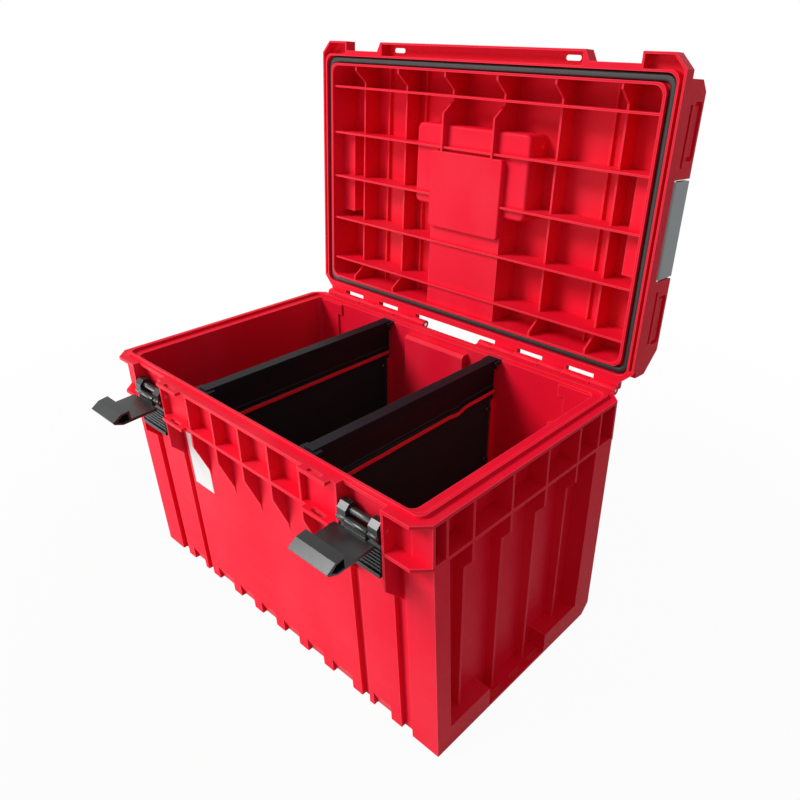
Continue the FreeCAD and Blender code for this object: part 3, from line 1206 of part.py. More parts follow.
hook_left = mirror("HookLeft", hook_right)

# Carry handle, folded into the lid's recess, and its two pins.
arm_out = f"({WELL_SIDE} - handle_side)"
arm_z = (f"{HANDLE_Z} - handle_arm_h / 2", f"{HANDLE_Z} + handle_arm_h / 2")
arm_end = f"{HANDLE_Y} - handle_arm_h / 2 + lid_wall"
grip_end = f"{HANDLE_Y} + handle_reach"
handle_blocks = []
for name, low, high in (
    ("Right", f"{arm_out} - handle_arm", arm_out),
    ("Left", f"-{arm_out}", f"-{arm_out} + handle_arm"),
):
    handle_blocks.append(box(f"HandleArm{name}", (low, high), (arm_end, grip_end), arm_z))
grip_y = (f"{grip_end} - handle_grip", grip_end)
handle_blocks.append(box("HandleGrip", (f"-{arm_out}", arm_out), grip_y, arm_z))
handle_solid = rounded("HandleRound", fuse("HandleSolid", handle_blocks), AXIS_X, "handle_pin_r")
carry_handle = cut(
    "CarryHandle",
    handle_solid,
    [rod("HandlePinHole", "x", (HANDLE_Y, HANDLE_Z), "handle_pin_r + run_fit", f"-{WELL_SIDE}", WELL_SIDE)],
)
handle_pin_right = rod(
    "HandlePinRight", "x", (HANDLE_Y, HANDLE_Z), "handle_pin_r", f"{PIN_END} - handle_pin_l", PIN_END
)
handle_pin_left = mirror("HandlePinLeft", handle_pin_right)

# Stacking locks: a bar that tips outward on a pin between the side lugs.
bar_y = (f"{FRONT_LUG[1]} + lock_bar_gap", f"{BACK_LUG[0]} - lock_bar_gap")
bar_x = (f"{LOCK_X} - lock_bar_t / 2", f"{LOCK_X} + lock_bar_t / 2")
bar_z = (LOCK_Z, f"{LOCK_Z} + lock_bar_h - lock_bar_t / 2")
lock_right = cut(
    "LockRight",
    fuse(
        "LockSolid",
        [
            box("LockBar", bar_x, bar_y, bar_z),
            rod("LockFoot", "y", (LOCK_X, LOCK_Z), "lock_bar_t / 2", *bar_y),
        ],
    ),
    [rod("LockPinHole", "y", (LOCK_X, LOCK_Z), "lock_pin_r + run_fit", *LOCK_ENDS)],
)
lock_left = mirror("LockLeft", lock_right)
lock_pin_right = rod("LockPinRight", "y", (LOCK_X, LOCK_Z), "lock_pin_r", *LOCK_ENDS)
lock_pin_left = mirror("LockPinLeft", lock_pin_right)


def swing_open(part):
    """Turns a piece of the closed lid about the hinge axis to where it stands open."""
    part.Placement = FreeCAD.Placement(FreeCAD.Vector(), FreeCAD.Rotation(AXIS_X, -1))
    bind(part, "Placement.Rotation.Angle", "-lid_open")
    bind(part, "Placement.Base.y", f"{HINGE_Y} - {HINGE_Y} * cos(lid_open) - {HINGE_Z} * sin(lid_open)")
    bind(part, "Placement.Base.z", f"{HINGE_Z} + {HINGE_Y} * sin(lid_open) - {HINGE_Z} * cos(lid_open)")


def on_lid(name, part):
    """A piece of the lid, carried round the hinge as a whole."""
    carried = doc.addObject("Part::Compound", name)
    carried.Links = [part]
    swing_open(carried)
    return carried


# Dividers: a board in the guides, a rail on its top edge, and a cloth pocket with a bound edge.
rail_z = ("rim_z + rail_up - rail_h", "rim_z + rail_up")
rail_y = (f"-{TUB_Y} + 2 * wall", f"{TUB_Y} - 2 * wall")
rail_blocks = [box("RailBar", ("divider_x - rail_w / 2", "divider_x + rail_w / 2"), rail_y, rail_z)]
tab_z = ("rim_z - flange_t + seat_play", "rim_z")
tab_far = f"{TUB_Y} - wall + seat_d - seat_play"
tab_near = f"{TUB_Y} - wall - rail_tab_l"
tab_x = ("divider_x - rail_tab_w / 2", "divider_x + rail_tab_w / 2")
rail_blocks.append(box("RailFrontTab", tab_x, (f"-({tab_far})", f"-({tab_near})"), tab_z))
tab_x = ("divider_x - rail_tab_back / 2", "divider_x + rail_tab_back / 2")
rail_blocks.append(box("RailBackTab", tab_x, (tab_near, tab_far), tab_z))
rail_right = cut(
    "RailRight",
    fuse("RailSolid", rail_blocks),
    [
        box(
            "RailSlot",
            ("divider_x - board_t / 2 - rail_fit", "divider_x + board_t / 2 + rail_fit"),
            (f"-{TUB_Y}", TUB_Y),
            ("rim_z + rail_up - 2 * rail_h", "rim_z + rail_up - rail_h + rail_slot"),
        )
    ],
)
BOARD_LOW = f"({FLOOR_TOP} + board_play)"
BOARD_TOP = "(rim_z + rail_up - rail_h + rail_slot)"
board_points = [
    (f"-{wall_y(BOARD_LOW, '-wall - board_play')}", BOARD_LOW),
    (wall_y(BOARD_LOW, "-wall - board_play"), BOARD_LOW),
    (wall_y(BOARD_TOP, "-wall - board_play"), BOARD_TOP),
    (f"-{wall_y(BOARD_TOP, '-wall - board_play')}", BOARD_TOP),
]
board_right = prism("BoardRight", "x", board_points, "divider_x - board_t / 2", "divider_x + board_t / 2")
POCKET_TOP = "(rim_z - pocket_top)"
POCKET_LOW = wall_y("pocket_base", "-wall - board_play - pocket_edge")
POCKET_HIGH = wall_y(POCKET_TOP, "-wall - board_play - pocket_edge")
BINDING_END = wall_y(f"{POCKET_TOP} - binding_w", "-wall - board_play - binding_edge")
BOARD_FACE = "(divider_x + board_t / 2)"
BACK_FACE = "(board_t / 2 - divider_x)"


def dress_board(side, face):
    """The cloth pocket, its binding and its two studs on the board's right-hand face."""
    cloth = f"({face} + pocket_t)"
    outline = [
        (f"-{POCKET_LOW}", "pocket_base"),
        (POCKET_LOW, "pocket_base"),
        (POCKET_HIGH, POCKET_TOP),
        (f"-{POCKET_HIGH}", POCKET_TOP),
    ]
    pocket = prism(f"Pocket{side}", "x", outline, face, cloth)
    edge = (f"{POCKET_TOP} - binding_w", POCKET_TOP)
    binding = box(f"Binding{side}", (cloth, f"{cloth} + binding_t"), (f"-{BINDING_END}", BINDING_END), edge)
    studs = []
    for name, drop in (("Upper", "stud_up"), ("Lower", "stud_low")):
        height = f"({POCKET_TOP} - {drop})"
        place = (wall_y(height, "-wall - board_play - stud_in"), height)
        studs.append(rod(f"Stud{name}{side}", "x", place, "stud_r", cloth, f"{cloth} + stud_t"))
    return pocket, binding, studs


pocket_right, binding_right, studs_right = dress_board("Right", BOARD_FACE)
rail_left = mirror("RailLeft", rail_right)
board_left = mirror("BoardLeft", board_right)
pocket_left, binding_left, studs_left = dress_board("Left", BACK_FACE)

# Blank label on the front wall.
label_edge = f"({LATCH_X} - pocket_w / 2 - pocket_wall - label_gap)"
label_x = (f"-{label_edge}", f"-{label_edge} + label_w")
label_z = ("label_z", "label_z + label_h")
blank_label = strip("Label", "-", label_x, label_z, "0", "label_t")

# The finished pieces, by the name of their files.
NODES = {
    "case_shell": case_shell,
    "lid_shell": on_lid("LidShellOpen", lid_shell),
    "lid_gasket": on_lid("LidGasketOpen", lid_gasket),
    "hinge_pin_left": hinge_pin_left,
    "hinge_pin_right": hinge_pin_right,
    "latch_left_lever": lever_left,
    "latch_right_lever": lever_right,
    "latch_left_lever_pin": lever_pin_left,
    "latch_right_lever_pin": lever_pin_right,
    "latch_left_hook": hook_left,
    "latch_right_hook": hook_right,
    "latch_left_hook_pin": hook_pin_left,
    "latch_right_hook_pin": hook_pin_right,
    "carry_handle": on_lid("CarryHandleOpen", carry_handle),
    "handle_pin_left": on_lid("HandlePinLeftOpen", handle_pin_left),
    "handle_pin_right": on_lid("HandlePinRightOpen", handle_pin_right),
    "stack_lock_left": on_lid("LockLeftOpen", lock_left),
    "stack_lock_right": on_lid("LockRightOpen", lock_right),
    "stack_lock_pin_left": on_lid("LockPinLeftOpen", lock_pin_left),
    "stack_lock_pin_right": on_lid("LockPinRightOpen", lock_pin_right),
    "divider_left_rail": rail_left,
    "divider_right_rail": rail_right,
    "divider_left_board": board_left,
    "divider_right_board": board_right,
    "divider_left_pocket": pocket_left,
    "divider_right_pocket": pocket_right,
    "divider_left_binding": binding_left,
    "divider_right_binding": binding_right,
    "divider_left_stud_upper": studs_left[0],
    "divider_left_stud_lower": studs_left[1],
    "divider_right_stud_upper": studs_right[0],
    "divider_right_stud_lower": studs_right[1],
    "blank_label": blank_label,
}

doc.recompute()
for item in doc.Objects:
    if "Invalid" in item.State or "Error" in item.State:
        raise RuntimeError(f"{item.Name} failed: {item.State}")
os.makedirs("parts", exist_ok=True)
for node, item in NODES.items():
    item.Label = node
    shape = item.Shape
    if shape.isNull() or not shape.isValid():
        raise RuntimeError(f"{node} has no valid shape")
    if len(shape.Solids) != 1:
        raise RuntimeError(f"{node} is {len(shape.Solids)} solids")
    shape.Solids[0].exportStep(f"parts/{node}.step")
    low = shape.BoundBox
    print(f"{node}: {shape.Volume / 1000:.1f} cm3, {low.XLength:.1f} x {low.YLength:.1f} x {low.ZLength:.1f}")
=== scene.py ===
# %% [markdown]
# # A stacking tool case with its lid open
#
# The object is a moulded plastic tool case. A deep tub carries a ribbed rim, two latches and a hinged
# lid with a rubber seal, and two dividers with cloth pockets stand in it. The rigid pieces come from the
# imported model, which is the fixed frame of this lesson. They could be modelled again here, but then
# nothing would keep them in step with their joints, so they stay as they are. What is added are the
# finishes, the soft pieces, the light and the camera. Everything is in metres, X to the right, Y to the
# back and Z up.

# %% Load the frame
import json
import math

import bmesh
import bpy
from mathutils import Matrix, Vector, noise


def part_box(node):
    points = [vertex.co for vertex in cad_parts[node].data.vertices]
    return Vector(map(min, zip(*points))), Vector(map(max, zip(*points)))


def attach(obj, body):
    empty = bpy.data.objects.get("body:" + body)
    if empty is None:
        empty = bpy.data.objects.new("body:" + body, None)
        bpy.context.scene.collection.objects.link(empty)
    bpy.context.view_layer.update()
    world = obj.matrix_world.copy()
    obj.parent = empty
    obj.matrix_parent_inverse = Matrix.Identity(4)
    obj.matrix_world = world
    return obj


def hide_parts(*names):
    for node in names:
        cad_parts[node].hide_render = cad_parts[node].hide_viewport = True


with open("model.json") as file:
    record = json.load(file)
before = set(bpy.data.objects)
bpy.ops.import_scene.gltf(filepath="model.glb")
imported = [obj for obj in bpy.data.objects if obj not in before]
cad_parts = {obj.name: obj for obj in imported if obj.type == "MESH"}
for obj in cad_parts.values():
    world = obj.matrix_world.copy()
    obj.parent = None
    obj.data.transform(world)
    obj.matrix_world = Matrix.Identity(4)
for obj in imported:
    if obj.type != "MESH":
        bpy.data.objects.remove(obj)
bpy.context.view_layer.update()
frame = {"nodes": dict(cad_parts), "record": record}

nodes = frame["nodes"]

# %% [markdown]
# ## Camera
#
# The case is seen from its front right corner, from above. A camera could be placed by eye, but a case has
# many straight edges, and a camera solved from them puts every edge where it belongs. Its numbers are a
# place, two angles, a small roll, a focal length in pixels and a shift of the picture's centre. The columns
# of its matrix are the camera's right, up and backward directions.

# %% Camera directions
AZIMUTH = math.radians(41.86)
ELEVATION = math.radians(27.66)
ROLL = math.radians(0.38)

backward = Vector(
    (
        math.sin(AZIMUTH) * math.cos(ELEVATION),
        -math.cos(AZIMUTH) * math.cos(ELEVATION),
        math.sin(ELEVATION),
    )
)
level = Vector((math.cos(AZIMUTH), math.sin(AZIMUTH), 0))
upward = backward.cross(level)
rolled_right = level * math.cos(ROLL) + upward * math.sin(ROLL)
rolled_up = upward * math.cos(ROLL) - level * math.sin(ROLL)
print("camera looks along", [round(-part, 3) for part in backward])

# %% Camera
PICTURE_PX = 800
FOCAL_PX = 718.47
SENSOR_MM = 36
SHIFT_PX = (-40.9, -2.27)
CLIP_NEAR = 0.01
CLIP_FAR = 100
CAMERA_PLACE = Vector((0.63956, -0.54694, 0.73109))

lens = bpy.data.cameras.new("camera")
lens.sensor_width = SENSOR_MM
lens.lens = FOCAL_PX * SENSOR_MM / PICTURE_PX
lens.shift_x = SHIFT_PX[0] / PICTURE_PX
lens.shift_y = SHIFT_PX[1] / PICTURE_PX
lens.clip_start = CLIP_NEAR
lens.clip_end = CLIP_FAR
camera = bpy.data.objects.new("camera", lens)
bpy.context.collection.objects.link(camera)
turn = Matrix((rolled_right, rolled_up, backward)).transposed().to_4x4()
camera.matrix_world = Matrix.Translation(CAMERA_PLACE) @ turn
scene = bpy.context.scene
scene.camera = camera
scene.view_settings.view_transform = "Standard"
print("lens:", round(lens.lens, 2), "mm")

# %% [markdown]
# ## Lamps
#
# The case stands in a soft light from the front left and above, with a low soft box on the same side that
# brightens the front wall. The key could be a large area lamp, but that fades from the near side of the
# case to the far one. A sun lights everything evenly, and a wide angle softens the shadow of each overhang.
# The soft box is an area lamp, because its light should fade towards the back.

# %% Lamps
KEY_TRAVEL = Vector((0.50, 0.62, -0.60))
KEY_STRENGTH = 2.7
KEY_SPREAD = math.radians(24)
BOX_PLACE = Vector((-0.64, -0.76, 0.22))
BOX_AIM = Vector((0.0, 0.10, 0.34))
BOX_SIZE = (1.0, 0.42)
BOX_POWER = 5.0


def add_lamp(name, kind, strength, travel):
    """A lamp whose light travels along the given direction."""
    lamp = bpy.data.lights.new(name, kind)
    lamp.energy = strength
    holder = bpy.data.objects.new(name, lamp)
    bpy.context.collection.objects.link(holder)
    holder.rotation_mode = "QUATERNION"
    holder.rotation_quaternion = (-travel).to_track_quat("Z", "Y")
    return holder


key = add_lamp("key", "SUN", KEY_STRENGTH, KEY_TRAVEL)
key.data.angle = KEY_SPREAD
soft_box = add_lamp("soft_box", "AREA", BOX_POWER, BOX_AIM - BOX_PLACE)
soft_box.location = BOX_PLACE
soft_box.data.shape = "RECTANGLE"
soft_box.data.size, soft_box.data.size_y = BOX_SIZE
print("key light from", [round(-part, 2) for part in KEY_TRAVEL])

# %% [markdown]
# ## Node helpers
#
# The room, the floor and every finish are small trees of nodes. They could be written out in full, but then
# each node takes many lines. One helper makes a node, sets its settings and fills its inputs, either with a
# value or with another node's output. The others give a name to the steps that come back most.

# %% Node helpers


def add_node(tree, kind, inputs=None, **settings):
    """One node; an input is given a value, or the socket that feeds it."""
    made = tree.nodes.new(kind)
    for name, value in settings.items():
        setattr(made, name, value)
    for key, value in (inputs or {}).items():
        if isinstance(value, bpy.types.NodeSocket):
            tree.links.new(value, made.inputs[key])
        else:
            made.inputs[key].default_value = value
    return made


def spread(tree, value, low, high, start=0.0, end=1.0):
    """Stretches a value from start..end to low..high."""
    made = add_node(
        tree,
        "ShaderNodeMapRange",
        {"Value": value, "From Min": start, "From Max": end, "To Min": low, "To Max": high},
    )
    return made.outputs["Result"]


def combine(tree, operation, first, second):
    """One step of arithmetic on two sockets."""
    made = add_node(tree, "ShaderNodeMath", {0: first, 1: second}, operation=operation)
    return made.outputs["Value"]


print("node helpers:", ", ".join(helper.__name__ for helper in (add_node, spread, combine)))

# %% [markdown]
# ## Room
#
# Round the case is a plain white room. A picture of a real room could be wrapped round the scene, but it
# would bring colours of its own, so the world is one even white. The camera and reflections see it at full
# strength. As light on surfaces it is much weaker, so that the sides away from the lamps stay deep. The
# Light Path node tells these two kinds of ray apart.

# %% Room
WHITE = (1, 1, 1, 1)
FILL = 0.40


def seen_or_mirrored(tree):
    """One for rays from the camera, in reflections and through glass, and nought for light on surfaces."""
    path = tree.nodes.new("ShaderNodeLightPath")
    share = path.outputs["Is Camera Ray"]
    for ray in ("Is Glossy Ray", "Is Transmission Ray"):
        share = combine(tree, "MAXIMUM", share, path.outputs[ray])
    return share


world = bpy.data.worlds.new("room")
world.use_nodes = True
scene.world = world
room = world.node_tree
background = room.nodes["Background"]
background.inputs["Color"].default_value = WHITE
room.links.new(spread(room, seen_or_mirrored(room), FILL, 1.0), background.inputs["Strength"])
print("room gives fill light at", FILL)

# %% [markdown]
# ## Floor
#
# The case stands on white paper that runs into the background without a line. A curved backdrop could be
# built, but a flat sheet is enough. Seen by the camera or in a reflection, it is nearly all glow, and the
# small share of plain grey paper that is left shows the case's shadow. Away from the case that share
# fades out, so the paper ends as white as the room.

# %% Floor sheet
FLOOR_HALF = 12.0
FLOOR_DROP = 0.0004

floor_mesh = bpy.data.meshes.new("floor")
corner_signs = ((-1, -1), (1, -1), (1, 1), (-1, 1))
floor_corners = [(x * FLOOR_HALF, y * FLOOR_HALF, -FLOOR_DROP) for x, y in corner_signs]
floor_mesh.from_pydata(floor_corners, [], [(0, 1, 2, 3)])
floor = bpy.data.objects.new("floor", floor_mesh)
bpy.context.collection.objects.link(floor)
print("floor is", 2 * FLOOR_HALF, "m wide")

# %% Floor paper
FLOOR_GREY = 0.3
FLOOR_ROUGH = 0.9
FLOOR_GLOW = 0.965
FLOOR_NEAR = 0.5
FLOOR_FAR = 1.3


def start_finish(name):
    """A new material: its node tree, its shader and the coordinates of the piece, in metres."""
    made = bpy.data.materials.new(name)
    made.use_nodes = True
    tree = made.node_tree
    shader = tree.nodes["Principled BSDF"]
    place = tree.nodes.new("ShaderNodeTexCoord").outputs["Object"]
    return made, tree, shader, place


floor_finish, tree, shader, place = start_finish("floor_paper")
shader.inputs["Base Color"].default_value = (FLOOR_GREY, FLOOR_GREY, FLOOR_GREY, 1)
shader.inputs["Roughness"].default_value = FLOOR_ROUGH
glow = add_node(tree, "ShaderNodeEmission", {"Color": WHITE, "Strength": 1.0})
away = add_node(tree, "ShaderNodeVectorMath", {0: place}, operation="LENGTH").outputs["Value"]
fade = spread(tree, away, FLOOR_GLOW, 1.0, FLOOR_NEAR, FLOOR_FAR)
share = combine(tree, "MULTIPLY", seen_or_mirrored(tree), fade)
blended = add_node(
    tree, "ShaderNodeMixShader", {0: share, 1: shader.outputs["BSDF"], 2: glow.outputs["Emission"]}
)
tree.links.new(blended.outputs["Shader"], tree.nodes["Material Output"].inputs["Surface"])
floor_mesh.materials.append(floor_finish)
print("floor fades to white between", FLOOR_NEAR, "and", FLOOR_FAR, "m")

# %% [markdown]
# ## Softened edges
#
# Nothing that comes out of a mould has a knife edge, and the thin bright lines along the ribs are small
# roundings that catch the light. They could be cut into the mesh by hand, but the solids have to stay as
# they are, so each rigid piece gets a bevel modifier. The imported mesh has a seam along each edge, so a
# weld comes first, and flat faces are joined before the bevel, because it works best on whole faces.

# %% Softened edges
SIDES = ("left", "right")
WELD = 0.00002
FLAT_ANGLE = math.radians(0.5)
EDGE_ANGLE = math.radians(35)
BEVEL_SEGMENTS = 2
MIDDLE_EDGES = {"case_shell": 0.0004, "lid_shell": 0.0004, "carry_handle": 0.003}
PAIRED_EDGES = {
    "stack_lock_{}": 0.0014,
    "latch_{}_lever": 0.0005,
    "latch_{}_hook": 0.0007,
    "divider_{}_rail": 0.0006,
}


def soften(node, width):
    """Rounds the edges of one solid, by modifiers alone."""
    piece = nodes[node]
    weld = piece.modifiers.new("weld", "WELD")
    weld.merge_threshold = WELD
    join = piece.modifiers.new("join", "DECIMATE")
    join.decimate_type = "DISSOLVE"
    join.angle_limit = FLAT_ANGLE
    bevel = piece.modifiers.new("bevel", "BEVEL")
    bevel.width = width
    bevel.segments = BEVEL_SEGMENTS
    bevel.limit_method = "ANGLE"
    bevel.angle_limit = EDGE_ANGLE
    bevel.use_clamp_overlap = True
    bevel.harden_normals = True


edge_widths = dict(MIDDLE_EDGES)
for side in SIDES:
    for pattern, width in PAIRED_EDGES.items():
        edge_widths[pattern.format(side)] = width
for node, width in edge_widths.items():
    soften(node, width)
print("softened:", len(edge_widths), "pieces")

# %% [markdown]
# ## Patterns
#
# Moulded plastic, rubber and cloth are never one flat colour. Their clouds, grain and streaks could be
# painted on an image, but a pattern of noise needs no image, is as fine as the camera can see and follows
# the piece when it moves. Four helpers mix two colours, make even noise, make noise that is drawn out along
# one direction, and turn a pattern into fine relief.

# %% Patterns


def mix_colour(tree, share, first, second):
    """A mix of two colours, each a tuple or a socket."""
    made = add_node(tree, "ShaderNodeMix", {0: share, 6: first, 7: second}, data_type="RGBA")
    return made.outputs[2]


def noise_at(tree, place, scale, detail=2.0):
    """Noise with scale waves to the metre."""
    made = add_node(tree, "ShaderNodeTexNoise", {"Vector": place, "Scale": scale, "Detail": detail})
    return made.outputs["Fac"]


def drawn_noise(tree, place, scales, detail=2.0):
    """Noise with its own number of waves to the metre along each axis."""
    drawn = add_node(tree, "ShaderNodeMapping", {"Vector": place, "Scale": scales})
    return noise_at(tree, drawn.outputs["Vector"], 1.0, detail)


def add_relief(tree, shader, height, strength, depth):
    """Fine relief from a pattern of heights, with its depth in metres."""
    bump = add_node(tree, "ShaderNodeBump", {"Height": height, "Strength": strength, "Distance": depth})
    tree.links.new(bump.outputs["Normal"], shader.inputs["Normal"])


print("patterns:", ", ".join(helper.__name__ for helper in (noise_at, drawn_noise)))

# %% [markdown]
# ## Painted edge highlights
#
# The small roundings on the outer edges catch the light, so a painted highlight makes these edges paler
# than the flats. It could be painted by hand, edge by edge. The ambient occlusion node finds them all:
# looked at from inside the material, a flat wall has open space behind it, but an outer edge has another
# wall close by.

# %% Painted edge highlights
# The painted highlight on outer edges: samples, where it starts, where it is full and its largest share.
HIGHLIGHT_SAMPLES = 4
HIGHLIGHT_STARTS = 0.95
HIGHLIGHT_FULL = 0.5
HIGHLIGHT_MOST = 0.6


def edge_share(tree, reach):
    """Nought on flats, rising on outer edges where a highlight is painted, within the given reach of the
    edge.
    """
    inward = add_node(
        tree,
        "ShaderNodeAmbientOcclusion",
        {"Distance": reach},
        samples=HIGHLIGHT_SAMPLES,
        inside=True,
        only_local=True,
    )
    return spread(tree, inward.outputs["AO"], 0.0, HIGHLIGHT_MOST, HIGHLIGHT_STARTS, HIGHLIGHT_FULL)


print("rubbed edges take up to", HIGHLIGHT_MOST, "of the paler colour")

# %% [markdown]
# ## Red moulded plastic
#
# The two shells are a saturated red with a satin skin. A plain red shader would do, but it would look like
# paper. So slow clouds and faint pale patches, partly flow marks and partly a painted sheen, are mixed into
# the colour, a painted highlight makes the outer edges paler, streaks change the roughness along the walls,
# and a fine grain stands for the skin of the mould.

# %% Red moulded plastic
RED_DEEP = (0.76, 0.004, 0.022, 1)
RED_BRIGHT = (0.84, 0.008, 0.036, 1)
# Paler red for the patches that are partly flow marks and partly painted sheen.
RED_FLOW_SHEEN = (0.90, 0.075, 0.11, 1)
# Paler red for the painted highlight on outer edges.
RED_HIGHLIGHT = (0.95, 0.12, 0.15, 1)
RED_HIGHLIGHT_REACH = 0.0009
RED_CLOUDS = 7.0
RED_STREAKS = (14.0, 60.0, 160.0)
RED_ROUGH = (0.42, 0.56)
RED_SHINE = 0.09
RED_GRAIN = 1400.0
RED_GRAIN_STRENGTH = 0.08
GRAIN_DEPTH = 0.0002
# Slow pale patches: partly flow marks, partly a painted sheen.
FLOW_SHEEN_STRETCH = (9.0, 9.0, 5.0)
FLOW_SHEEN_RANGE = (0.45, 0.75)
FLOW_SHEEN_MOST = 0.22

red_finish, tree, shader, place = start_finish("red_moulded_plastic")
clouds = noise_at(tree, place, RED_CLOUDS, detail=3.0)
streaks = drawn_noise(tree, place, RED_STREAKS, detail=4.0)
# Painted sheen together with flow marks: a slow drawn-out noise lightens the red in patches.
flow_sheen_noise = drawn_noise(tree, place, FLOW_SHEEN_STRETCH, detail=4.0)
flow_sheen_share = spread(tree, flow_sheen_noise, 0.0, FLOW_SHEEN_MOST, *FLOW_SHEEN_RANGE)
plain_red = mix_colour(tree, clouds, RED_DEEP, RED_BRIGHT)
flow_sheen_red = mix_colour(tree, flow_sheen_share, plain_red, RED_FLOW_SHEEN)
# Painted highlight: the outer edges are mixed towards a paler red.
highlit_red = mix_colour(tree, edge_share(tree, RED_HIGHLIGHT_REACH), flow_sheen_red, RED_HIGHLIGHT)
tree.links.new(highlit_red, shader.inputs["Base Color"])
tree.links.new(spread(tree, streaks, *RED_ROUGH), shader.inputs["Roughness"])
add_relief(tree, shader, noise_at(tree, place, RED_GRAIN), RED_GRAIN_STRENGTH, GRAIN_DEPTH)
shader.inputs["Specular IOR Level"].default_value = RED_SHINE
print("red finish:", len(tree.nodes), "nodes")

# %% [markdown]
# ## Grey and black plastics
#
# The latches are a dark grey, harder and glossier plastic, the stacking locks and the handle a lighter
# grey one with a matt grain, and the divider rails and boards are nearly black. Each could be a material
# of its own from the start, but they differ only in colour, roughness, grain and shine, so one function
# makes all of them.

# %% Grey and black plastics
PLASTIC_CLOUDS = 30.0
PLASTIC_GRAIN = 1600.0
# Reach of the painted highlight on outer edges.
PLASTIC_HIGHLIGHT_REACH = 0.0007
DEEPER = 0.82
BRIGHTER = 1.15
# Painted highlight on outer edges: the colour is doubled and lifted.
HIGHLIGHT_GAIN = 2.0
HIGHLIGHT_LIFT = 0.05
ROUGH_SWAY = 0.06
LATCH_GREY = (0.017, 0.018, 0.019)
LOCK_GREY = (0.32, 0.345, 0.355)
RAIL_BLACK = (0.008, 0.008, 0.011)
BOARD_BLACK = (0.006, 0.006, 0.007)


def plain_plastic(name, colour, roughness, grain, shine):
    """A moulded plastic with clouds, a painted highlight on its outer edges and a grain of the given
    strength.
    """
    made, tree, shader, place = start_finish(name)
    clouds = noise_at(tree, place, PLASTIC_CLOUDS, detail=3.0)
    deep = tuple(DEEPER * value for value in colour) + (1,)
    bright = tuple(BRIGHTER * value for value in colour) + (1,)
    # Paler copy of the colour for the painted highlight on outer edges.
    highlit = tuple(HIGHLIGHT_LIFT + HIGHLIGHT_GAIN * value for value in colour) + (1,)
    flat = mix_colour(tree, clouds, deep, bright)
    # Painted highlight: the outer edges are mixed towards the paler copy.
    edge_lit = mix_colour(tree, edge_share(tree, PLASTIC_HIGHLIGHT_REACH), flat, highlit)
    tree.links.new(edge_lit, shader.inputs["Base Color"])
    rough = spread(tree, clouds, roughness - ROUGH_SWAY, roughness + ROUGH_SWAY)
    tree.links.new(rough, shader.inputs["Roughness"])
    add_relief(tree, shader, noise_at(tree, place, PLASTIC_GRAIN), grain, GRAIN_DEPTH)
    shader.inputs["Specular IOR Level"].default_value = shine
    print(name, "nodes:", len(tree.nodes))
    return made


latch_finish = plain_plastic("latch_grey_plastic", LATCH_GREY, roughness=0.25, grain=0.05, shine=0.4)
lock_finish = plain_plastic("lock_grey_plastic", LOCK_GREY, roughness=0.45, grain=0.12, shine=0.5)
rail_finish = plain_plastic("rail_black_plastic", RAIL_BLACK, roughness=0.48, grain=0.15, shine=0.1)
board_finish = plain_plastic("board_black_plastic", BOARD_BLACK, roughness=0.5, grain=0.15, shine=0.2)

# %% [markdown]
# ## Steel pins
#
# The pins of the hinge, the latches and the handle are drawn steel, with fine lines round them. The lines
# could be cut as grooves, but they are far too fine for that. Noise with many waves along the pin and
# few across it gives them, both in the colour and in the roughness.

# %% Steel pins
STEEL_DEEP = (0.42, 0.42, 0.43, 1)
STEEL_BRIGHT = (0.6, 0.6, 0.6, 1)
STEEL_LINES = (4000.0, 60.0, 60.0)
STEEL_ROUGH = (0.22, 0.42)

steel_finish, tree, shader, place = start_finish("pin_steel")
lines = drawn_noise(tree, place, STEEL_LINES)
shader.inputs["Metallic"].default_value = 1.0
tree.links.new(mix_colour(tree, lines, STEEL_DEEP, STEEL_BRIGHT), shader.inputs["Base Color"])
tree.links.new(spread(tree, lines, *STEEL_ROUGH), shader.inputs["Roughness"])
print("steel lines:", STEEL_LINES[0], "to the metre")

# %% [markdown]
# ## Foam rubber and film
#
# The seal is a black foam cord, dull and speckled with pores, and the blank label is a smooth white film.
# A plain black and a plain white would look like holes in the picture. One noise pattern each is enough:
# for the rubber it gives both the specks and their relief, for the film a slight change of shine.

# %% Foam rubber
RUBBER_DEEP = (0.006, 0.006, 0.006, 1)
RUBBER_BRIGHT = (0.03, 0.03, 0.03, 1)
RUBBER_PORES = 1100.0
RUBBER_ROUGH = 0.5
PORE_STRENGTH = 0.3
PORE_DEPTH = 0.0003

rubber_finish, tree, shader, place = start_finish("seal_foam_rubber")
pores = noise_at(tree, place, RUBBER_PORES, detail=3.0)
tree.links.new(mix_colour(tree, pores, RUBBER_DEEP, RUBBER_BRIGHT), shader.inputs["Base Color"])
shader.inputs["Roughness"].default_value = RUBBER_ROUGH
add_relief(tree, shader, pores, PORE_STRENGTH, PORE_DEPTH)
print("rubber pores:", RUBBER_PORES, "to the metre")

# %% White film
FILM_DEEP = (0.66, 0.66, 0.655, 1)
FILM_BRIGHT = (0.72, 0.72, 0.715, 1)
FILM_CLOUDS = 90.0
FILM_ROUGH = (0.28, 0.4)

film_finish, tree, shader, place = start_finish("label_white_film")
shine = noise_at(tree, place, FILM_CLOUDS)
tree.links.new(mix_colour(tree, shine, FILM_DEEP, FILM_BRIGHT), shader.inputs["Base Color"])
tree.links.new(spread(tree, shine, *FILM_ROUGH), shader.inputs["Roughness"])
print("film roughness:", FILM_ROUGH)

# %% [markdown]
# ## Woven cloth
#
# The pockets are black cloth in a plain weave, bound with red tape. Single threads could be modelled, but a
# pocket has hundreds of them. Two sets of waves, one across the other, raise the threads in turn, and a
# little noise makes them fluffy. The same weave with a finer pitch gives the tape and the seam's thread.
# Blender's wave runs through 20 radians in one unit of its scale, which sets the scale for a given pitch.

